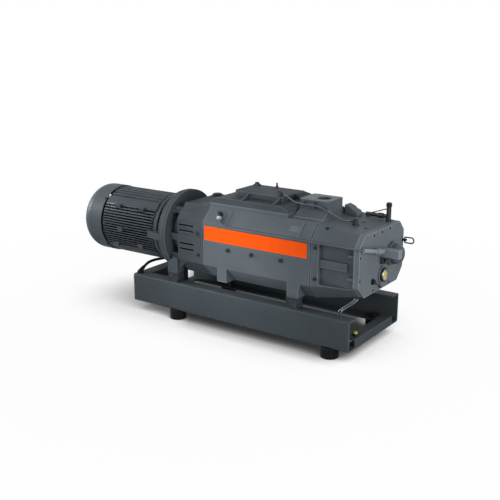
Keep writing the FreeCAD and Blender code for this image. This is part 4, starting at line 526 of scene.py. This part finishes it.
# The share of the castings' rounding where it is less, and the height of a change of paint
ROUNDING_SHARE = {"base": 0.5}
PAINT_SEAM = {"valve_block": 0.032}
MACHINED_TOP = ("inlet_port",)
SCREWED = ("end_plate_bolts", "casing_bolts", "motor_screws")
SCREW_FINISH = "dark_steel"
# The materials by finish, made once by main
MADE = {}


def clothe(piece, finish):
    """Gives a piece or a CAD node its only material."""
    piece.data.materials.clear()
    piece.data.materials.append(MADE[finish])


def place_piece(piece, finish, stands_for=()):
    """Gives a finished piece its material and body, and hides the CAD nodes it stands for."""
    clothe(piece, finish)
    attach(piece, MACHINE)
    if stands_for:
        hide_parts(*stands_for)
    return piece


def new_piece(name, work):
    """A mesh object at the origin from a finished bmesh."""
    bmesh.ops.recalc_face_normals(work, faces=work.faces)
    mesh = bpy.data.meshes.new(name)
    work.to_mesh(mesh)
    work.free()
    piece = bpy.data.objects.new(name, mesh)
    bpy.context.scene.collection.objects.link(piece)
    return piece


def smooth(piece):
    """Smooth shading, with the sharp edges kept."""
    for face in piece.data.polygons:
        face.use_smooth = True
    piece.data.set_sharp_from_angle(angle=SHARP_ANGLE)


def merged_copy(node):
    """A bmesh copy of a CAD node whose loose triangles are joined."""
    work = bmesh.new()
    work.from_mesh(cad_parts[node].data)
    bmesh.ops.remove_doubles(work, verts=work.verts, dist=MERGE_DISTANCE)
    return work


def bevel(piece, width):
    """A live bevel of a few faces on the sharp edges."""
    edges = piece.modifiers.new("edges", "BEVEL")
    edges.width = width
    edges.segments = BEVEL_SEGMENTS
    edges.limit_method = "ANGLE"
    return edges


def rounded_casting(node, radius, seam):
    """A merged copy of a CAD node whose sharp edges are rounded.

    A seam is a level line that high over its lowest point, at which the paint can
    change. With zero there is none.
    """
    work = merged_copy(node)
    bmesh.ops.dissolve_limit(work, angle_limit=FLAT_ANGLE, verts=work.verts, edges=work.edges)
    if seam:
        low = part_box(node)[0]
        bmesh.ops.bisect_plane(work, geom=work.verts[:] + work.edges[:] + work.faces[:],
                               plane_co=low + Vector((0, 0, seam)), plane_no=(0, 0, 1))
    piece = new_piece(node + "_rounded", work)
    edges = bevel(piece, radius)
    edges.angle_limit = BEVEL_ANGLE
    edges.harden_normals = True
    smooth(piece)
    return piece


def machine_top(piece):
    """Bare machined metal on the topmost level faces of a casting."""
    piece.data.materials.append(MADE["machined"])
    top = max(corner.co.z for corner in piece.data.vertices)
    for face in piece.data.polygons:
        if face.normal.z > LEVEL_NORMAL and face.center.z > top - TOP_DEPTH:
            face.material_index = 1


def darken_foot(piece, height):
    """Darker paint on a block's faces up to a height over its lowest point."""
    piece.data.materials.append(MADE["lantern"])
    low = min(corner.co.z for corner in piece.data.vertices)
    for face in piece.data.polygons:
        if face.center.z < low + height:
            face.material_index = 1


def lathe(name, outline, middle, axis):
    """A turned piece: (along, out) pairs in millimetres, swept round an axis."""
    turn = Vector(axis).to_track_quat("Z", "Y").to_matrix()
    angles = [2 * math.pi * k / LATHE_SIDES for k in range(LATHE_SIDES)]
    work = bmesh.new()
    rings = []
    for along, out in outline:
        if out == 0:
            spots = [(0, 0, along)]
        else:
            spots = [(out * math.cos(a), out * math.sin(a), along) for a in angles]
        rings.append([work.verts.new(middle + turn @ Vector(spot) * MM) for spot in spots])
    pairs = list(zip(rings, rings[1:]))
    if len(rings[0]) > 1:
        pairs.append((rings[-1], rings[0]))
    for first, second in pairs:
        for k in range(LATHE_SIDES):
            n = (k + 1) % LATHE_SIDES
            corners = [first[k % len(first)], first[n % len(first)],
                       second[n % len(second)], second[k % len(second)]]
            corners = list(dict.fromkeys(corners))
            if len(corners) > 2:
                work.faces.new(corners)
    piece = new_piece(name, work)
    smooth(piece)
    return piece


def slab(name, front, back):
    """A thin closed plate between two rings of matching corners."""
    work = bmesh.new()
    front = [work.verts.new(corner) for corner in front]
    back = [work.verts.new(corner) for corner in back]
    work.faces.new(front)
    work.faces.new(back[::-1])
    for k in range(len(front)):
        n = (k + 1) % len(front)
        work.faces.new((front[k], back[k], back[n], front[n]))
    return new_piece(name, work)


def rectangle(across, up):
    """The four corners between two ends across and two ends up, in order round it."""
    return ((across[0], up[0]), (across[1], up[0]), (across[1], up[1]), (across[0], up[1]))


def loose_parts(node):
    """The corner places of each separate screw, nut or plug in a CAD node."""
    work = merged_copy(node)
    work.verts.index_update()
    found = set()
    parts = []
    for start in work.verts:
        if start.index in found:
            continue
        found.add(start.index)
        part, waiting = [], [start]
        while waiting:
            corner = waiting.pop()
            part.append(corner.co[:])
            for side in corner.link_edges:
                other = side.other_vert(corner)
                if other.index not in found:
                    found.add(other.index)
                    waiting.append(other)
        parts.append(np.array(part))
    work.free()
    return parts


def screw_head(corners):
    """The head of one screw, from the places of the screw's corners.

    Its axis is the direction whose spread differs most from the other two, and the
    corners furthest from the axis are the rim of its head.
    """
    middle = corners.mean(axis=0)
    spreads, axes = np.linalg.eigh(np.cov((corners - middle).T))
    upper_gap, lower_gap = abs(spreads[1] - spreads[2]), abs(spreads[0] - spreads[1])
    axis = axes[:, 0] if upper_gap < lower_gap else axes[:, 2]
    along = (corners - middle) @ axis
    away = np.linalg.norm(corners - middle - np.outer(along, axis), axis=1)
    radius = away.max()
    rim = along[away > radius * RIM_SHARE]
    if abs(rim.mean() - along.min()) < abs(rim.mean() - along.max()):
        axis, rim = -axis, -rim
    sides = HEXAGON_SIDES if len(rim) <= HEXAGON_CORNERS else SOCKET_SIDES
    return ScrewHead(middle + axis * rim.min(), axis, radius, rim.max() - rim.min(), sides)


def screw_tree(name, sides, material):
    """Geometry Nodes that put one screw head on each point of a mesh.

    The head is one unit in radius and height, and each point's size scales it. Gives
    the tree and the identifier of the input for the recess's radius.
    """
    tree = bpy.data.node_groups.new(name, "GeometryNodeTree")
    face = tree.interface
    face.new_socket("Geometry", in_out="INPUT", socket_type="NodeSocketGeometry")
    face.new_socket("Geometry", in_out="OUTPUT", socket_type="NodeSocketGeometry")
    share = face.new_socket("Socket share", in_out="INPUT", socket_type="NodeSocketFloat")
    depth = face.new_socket("Socket depth", in_out="INPUT", socket_type="NodeSocketFloat")
    share.default_value, depth.default_value = RECESS_SHARE, RECESS_DEPTH
    link = tree.links.new

    def node(kind, **sockets):
        made = tree.nodes.new("GeometryNode" + kind)
        for key, value in sockets.items():
            made.inputs[key.replace("_", " ")].default_value = value
        return made

    given, result = tree.nodes.new("NodeGroupInput"), tree.nodes.new("NodeGroupOutput")
    head = node("MeshCylinder", Vertices=sides, Radius=1.0, Depth=1.0)
    lift = node("Transform", Translation=(0, 0, 0.5))
    link(head.outputs["Mesh"], lift.inputs["Geometry"])

    # A hexagon one unit high that would just stand on the head, sunk by the depth
    recess = node("MeshCylinder", Vertices=HEXAGON_SIDES, Depth=1.0)
    link(given.outputs["Socket share"], recess.inputs["Radius"])
    sunk = tree.nodes.new("ShaderNodeMath")
    sunk.operation = "SUBTRACT"
    sunk.inputs[0].default_value = 1.5
    link(given.outputs["Socket depth"], sunk.inputs[1])
    place = tree.nodes.new("ShaderNodeCombineXYZ")
    link(sunk.outputs[0], place.inputs["Z"])
    lower = node("Transform")
    link(place.outputs[0], lower.inputs["Translation"])
    link(recess.outputs["Mesh"], lower.inputs["Geometry"])
    carve = node("MeshBoolean")
    carve.operation = "DIFFERENCE"
    link(lift.outputs["Geometry"], carve.inputs["Mesh 1"])
    link(lower.outputs["Geometry"], carve.inputs["Mesh 2"])

    turn, size = (node("InputNamedAttribute", Name=key) for key in ("turn", "size"))
    turn.data_type = size.data_type = "FLOAT_VECTOR"
    rotation = tree.nodes.new("FunctionNodeEulerToRotation")
    link(turn.outputs["Attribute"], rotation.inputs["Euler"])
    spread = node("InstanceOnPoints")
    link(given.outputs["Geometry"], spread.inputs["Points"])
    link(carve.outputs["Mesh"], spread.inputs["Instance"])
    link(rotation.outputs["Rotation"], spread.inputs["Rotation"])
    link(size.outputs["Attribute"], spread.inputs["Scale"])
    real = node("RealizeInstances")
    link(spread.outputs["Instances"], real.inputs["Geometry"])
    dress = node("SetMaterial", Material=material)
    link(real.outputs["Geometry"], dress.inputs["Geometry"])
    link(dress.outputs["Geometry"], result.inputs["Geometry"])
    return tree, share.identifier


def grown(name, heads, tree, inputs):
    """The plain mesh that a node tree and a fine bevel make from the places of heads."""
    turns = [Vector(head.axis).to_track_quat("Z", "Y").to_euler() for head in heads]
    sizes = [(head.radius, head.radius, head.height) for head in heads]
    mesh = bpy.data.meshes.new(name + "_points")
    mesh.from_pydata([tuple(head.seat) for head in heads], [], [])
    for key, values in (("turn", turns), ("size", sizes)):
        spots = mesh.attributes.new(key, "FLOAT_VECTOR", "POINT")
        spots.data.foreach_set("vector", np.array(values, dtype=np.float32).ravel())
    seeds = bpy.data.objects.new(name + "_points", mesh)
    bpy.context.scene.collection.objects.link(seeds)
    nodes = seeds.modifiers.new("screws", "NODES")
    nodes.node_group = tree
    for identifier, value in inputs.items():
        nodes[identifier] = value
    bevel(seeds, SCREW_EDGE)
    ready = seeds.evaluated_get(bpy.context.evaluated_depsgraph_get())
    piece = bpy.data.objects.new(name, bpy.data.meshes.new_from_object(ready))
    bpy.context.scene.collection.objects.link(piece)
    bpy.data.objects.remove(seeds)
    piece.data.set_sharp_from_angle(angle=SHARP_ANGLE)
    return piece


class PUMP_OT_stage(bpy.types.Operator):
    """Camera at the photograph's angle, pale floor and soft studio light"""

    bl_idname = "pump.stage"
    bl_label = "Stage"

    def execute(self, context):
        scene = context.scene
        scene.view_settings.view_transform = "Standard"
        self.camera(scene)
        for name, place, aim, size, power, spread in LAMPS:
            self.lamp(scene, name, place, aim, size, power * scene.pump_looks.light_level,
                      spread)
        self.surround(scene)
        self.floor()
        return {"FINISHED"}

    @staticmethod
    def camera(scene):
        """The camera that took the photograph."""
        level = math.cos(CAMERA_ELEVATION)
        back = Vector((math.sin(CAMERA_AZIMUTH) * level, -math.cos(CAMERA_AZIMUTH) * level,
                       math.sin(CAMERA_ELEVATION)))
        camera = bpy.data.objects.new("camera", bpy.data.cameras.new("camera"))
        camera.data.sensor_width = SENSOR_WIDTH
        camera.data.lens = SENSOR_WIDTH * FOCAL_PIXELS / PHOTO_PIXELS
        camera.data.clip_end = CAMERA_FAR_CLIP
        camera.location = at(*CAMERA_TARGET) + back * CAMERA_DISTANCE
        camera.rotation_mode = "QUATERNION"
        camera.rotation_quaternion = (-back).to_track_quat("-Z", "Y")
        scene.collection.objects.link(camera)
        scene.camera = camera

    @staticmethod
    def lamp(scene, name, place, aim, size, power, spread):
        """A square lamp that the camera doesn't see."""
        data = bpy.data.lights.new(name, "AREA")
        data.size = size
        data.energy = power
        data.spread = math.radians(spread)
        lamp = bpy.data.objects.new(name, data)
        lamp.location = place
        lamp.visible_camera = False
        direction = Vector(aim) - Vector(place)
        lamp.rotation_euler = direction.to_track_quat("-Z", "Y").to_euler()
        scene.collection.objects.link(lamp)

    @staticmethod
    def surround(scene):
        """White where it is seen, mirrored or looked through to, and soft light elsewhere."""
        world = bpy.data.worlds.new("studio")
        world.use_nodes = True
        tree = world.node_tree
        tree.nodes.clear()
        path = tree.nodes.new("ShaderNodeLightPath")
        seen = path.outputs["Is Camera Ray"]
        for ray in ("Is Glossy Ray", "Is Transmission Ray"):
            either = tree.nodes.new("ShaderNodeMath")
            either.operation = "MAXIMUM"
            tree.links.new(seen, either.inputs[0])
            tree.links.new(path.outputs[ray], either.inputs[1])
            seen = either.outputs[0]
        mixed = tree.nodes.new("ShaderNodeMixShader")
        tree.links.new(seen, mixed.inputs["Fac"])
        for socket, colour, strength in ((1, SKY_COLOUR, SKY_LEVEL), (2, WHITE, 1.0)):
            background = tree.nodes.new("ShaderNodeBackground")
            background.inputs["Color"].default_value = colour
            background.inputs["Strength"].default_value = strength
            tree.links.new(background.outputs[0], mixed.inputs[socket])
        end = tree.nodes.new("ShaderNodeOutputWorld")
        tree.links.new(mixed.outputs[0], end.inputs["Surface"])
        scene.world = world

    @staticmethod
    def floor():
        """A pale floor, white to the camera except where the machine's shadow falls."""
        level = CAD_BOX[0].z - FLOOR_GAP
        work = bmesh.new()
        sides = (-FLOOR_REACH, FLOOR_REACH)
        work.faces.new([work.verts.new((x, y, level)) for x, y in rectangle(sides, sides)])
        floor = new_piece("floor", work)
        finish = Finish("pale_floor")
        camera_ray = finish.add("ShaderNodeLightPath", {}, {}, "Is Camera Ray")
        spot = finish.add("ShaderNodeTexCoord", {}, {}, "Object")
        out = finish.add("ShaderNodeVectorMath", {"operation": "LENGTH"}, {0: spot}, "Value")
        shift = finish.add("ShaderNodeVectorMath", {"operation": "DOT_PRODUCT"},
                           {0: spot, 1: (0, SHADOW_PATCH_SLANT, 0)}, "Value")
        slanted = finish.add("ShaderNodeVectorMath", {"operation": "MULTIPLY_ADD"},
                             {0: shift, 1: (1, 0, 0), 2: spot})
        lit_floor = finish.leaning_corners(SHADOW_REACH, SHADOW_LEAN).ramp(*SHADOW_RANGE)
        # Painted shadow: a darker patch on the floor behind the base
        shadow_patch = (finish.near(slanted, SLANTED_LIMIT) * finish.near(spot, DEPTH_LIMIT)
                 * finish.near(spot, LENGTH_LIMIT))
        tone = finish.blend(lit_floor * (1.0 - shadow_patch * SHADOW_PATCH_DEPTH), SHADOW_TONE, WHITE)
        far = out.ramp(*FLOOR_GLOW_RANGE)
        share = camera_ray * (FLOOR_GLOW + (1.0 - FLOOR_GLOW) * far)
        grey = finish.add("ShaderNodeBsdfDiffuse", {}, {"Color": FLOOR_GREY})
        glow = finish.add("ShaderNodeEmission", {}, {"Color": tone, "Strength": 1.0})
        mixed = finish.add("ShaderNodeMixShader", {}, {"Fac": share, 1: grey, 2: glow})
        floor.data.materials.append(finish.done(mixed))


class PUMP_OT_cable(bpy.types.Operator):
    """Supply cable from the terminal box's gland, under the motor, to the base"""

    bl_idname = "pump.cable"
    bl_label = "Supply cable"

    def execute(self, context):
        radius = context.scene.pump_looks.cable_diameter / 2
        curve = bpy.data.curves.new("supply_cable", "CURVE")
        curve.dimensions = "3D"
        curve.bevel_depth = radius
        curve.bevel_resolution = CABLE_RING_STEPS
        curve.resolution_u = CABLE_STEPS
        curve.use_fill_caps = True
        line = curve.splines.new("NURBS")
        line.points.add(len(CABLE_ROUTE) - 1)
        for point, place in zip(line.points, CABLE_ROUTE):
            point.co = (*at(*place), 1)
        line.order_u = CABLE_ORDER
        line.use_endpoint_u = True
        cable = bpy.data.objects.new("supply_cable", curve)
        context.scene.collection.objects.link(cable)
        place_piece(cable, "sheath", ["motor_cable"])
        2 * radius
        return {"FINISHED"}


class PUMP_OT_finishes(bpy.types.Operator):
    """Paint, metal, rubber and glass on every CAD node"""

    bl_idname = "pump.finishes"
    bl_label = "Finishes"

    def execute(self, context):
        bare = set(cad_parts)
        for finish, nodes in NODE_FINISH.items():
            for node in nodes:
                clothe(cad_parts[node], finish)
            bare.difference_update(nodes)
        if bare:
            raise RuntimeError(f"nodes with no finish: {sorted(bare)}")
        return {"FINISHED"}


class PUMP_OT_castings(bpy.types.Operator):
    """Castings, plates and beams with softly rounded edges"""

    bl_idname = "pump.castings"
    bl_label = "Rounded castings"

    def execute(self, context):
        for finish, nodes in ROUNDED_NODES.items():
            radius = context.scene.pump_looks.edge_radius * ROUNDING_SHARE.get(finish, 1)
            for node in nodes:
                seam = PAINT_SEAM.get(node, 0)
                piece = place_piece(rounded_casting(node, radius, seam), finish, [node])
                if node in MACHINED_TOP:
                    machine_top(piece)
                if seam:
                    darken_foot(piece, seam)
        return {"FINISHED"}


class PUMP_OT_screws(bpy.types.Operator):
    """Socket screws and hexagon bolts of the castings, the end plate and the motor"""

    bl_idname = "pump.screws"
    bl_label = "Screws"

    def execute(self, context):
        for node in SCREWED:
            heads = [screw_head(corners) for corners in loose_parts(node)]
            for kind, sides, share in SCREW_KINDS:
                chosen = [head for head in heads if head.sides == sides]
                if not chosen:
                    continue
                tree, identifier = screw_tree(f"{kind}_screws", sides, MADE[SCREW_FINISH])
                piece = grown(f"{node}_{kind}", chosen, tree, {identifier: share})
                place_piece(piece, SCREW_FINISH, [node])
        return {"FINISHED"}


class PUMP_OT_band(bpy.types.Operator):
    """Bare orange band along the pump's front"""

    bl_idname = "pump.band"
    bl_label = "Orange band"

    def execute(self, context):
        front, back = ([at(x, PUMP_FRONT_Y - lift, z) for x, z in rectangle(BAND_X, BAND_Z)]
                       for lift in (BAND_THICKNESS, FILM_GAP))
        place_piece(slab("orange_band", front, back), "band")
        return {"FINISHED"}


class PUMP_OT_small_fittings(bpy.types.Operator):
    """Sight glass, cap of the earth bolt, collar of the sensor and a bare plate"""

    bl_idname = "pump.small_fittings"
    bl_label = "Small fittings"

    def execute(self, context):
        low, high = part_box("sight_glass_ring")
        seat = Vector((low.x, (low.y + high.y) / 2, (low.z + high.z) / 2))
        out = (1, 0, 0)
        place_piece(lathe("sight_glass_rim", RIM_OUTLINE, seat, out), "dark_steel",
                    ["sight_glass_ring"])
        place_piece(lathe("sight_glass_bezel", BEZEL_OUTLINE, seat, out), "nickel")
        place_piece(lathe("sight_glass_dome", DOME_OUTLINE, seat, out), "glass",
                    ["sight_glass_lens"])
        place_piece(lathe("earth_bolt_cap", CAP_OUTLINE, at(*EARTH_BOLT_TOP), (0, 0, 1)),
                    "earth")
        place_piece(lathe("sensor_collar", COLLAR_OUTLINE, at(*SENSOR_FOOT), SENSOR_AXIS),
                    "block")
        front, back = ([at(x, PUMP_FRONT_Y + CHAMFER_SIZE * rise - lift,
                           CHAMFER_FOOT_Z + CHAMFER_SIZE * rise + lift)
                        for x, rise in rectangle(PLATE_X, PLATE_ON_CHAMFER)]
                       for lift in (PLATE_THICKNESS, FILM_GAP))
        place_piece(slab("bare_plate", front, back), "blank")
        return {"FINISHED"}


class PUMP_PT_panel(bpy.types.Panel):
    """Lists the pieces that dress the pump"""

    bl_idname = "PUMP_PT_panel"
    bl_label = "Vacuum pump"
    bl_space_type = "VIEW_3D"
    bl_region_type = "UI"
    bl_category = "Pump"

    def draw(self, context):
        looks = context.scene.pump_looks
        for name in PumpLooks.__annotations__:
            self.layout.prop(looks, name)
        for operator in OPERATORS:
            self.layout.operator(operator.bl_idname)


OPERATORS = (PUMP_OT_stage, PUMP_OT_cable, PUMP_OT_finishes, PUMP_OT_castings,
             PUMP_OT_screws, PUMP_OT_band, PUMP_OT_small_fittings)
CLASSES = (PumpLooks, *OPERATORS, PUMP_PT_panel)


def register():
    """Adds the classes and the scene's settings."""
    for kind in CLASSES:
        bpy.utils.register_class(kind)
    bpy.types.Scene.pump_looks = PointerProperty(type=PumpLooks)


def unregister():
    """Takes the classes and the scene's settings away again."""
    del bpy.types.Scene.pump_looks
    for kind in reversed(CLASSES):
        bpy.utils.unregister_class(kind)


def main():
    """Dresses the pump."""
    register()
    MADE.update(finishes(bpy.context.scene.pump_looks))
    bpy.ops.pump.stage()
    bpy.ops.pump.cable()
    bpy.ops.pump.finishes()
    bpy.ops.pump.castings()
    bpy.ops.pump.screws()
    bpy.ops.pump.band()
    bpy.ops.pump.small_fittings()


if __name__ == "__main__":
    main()
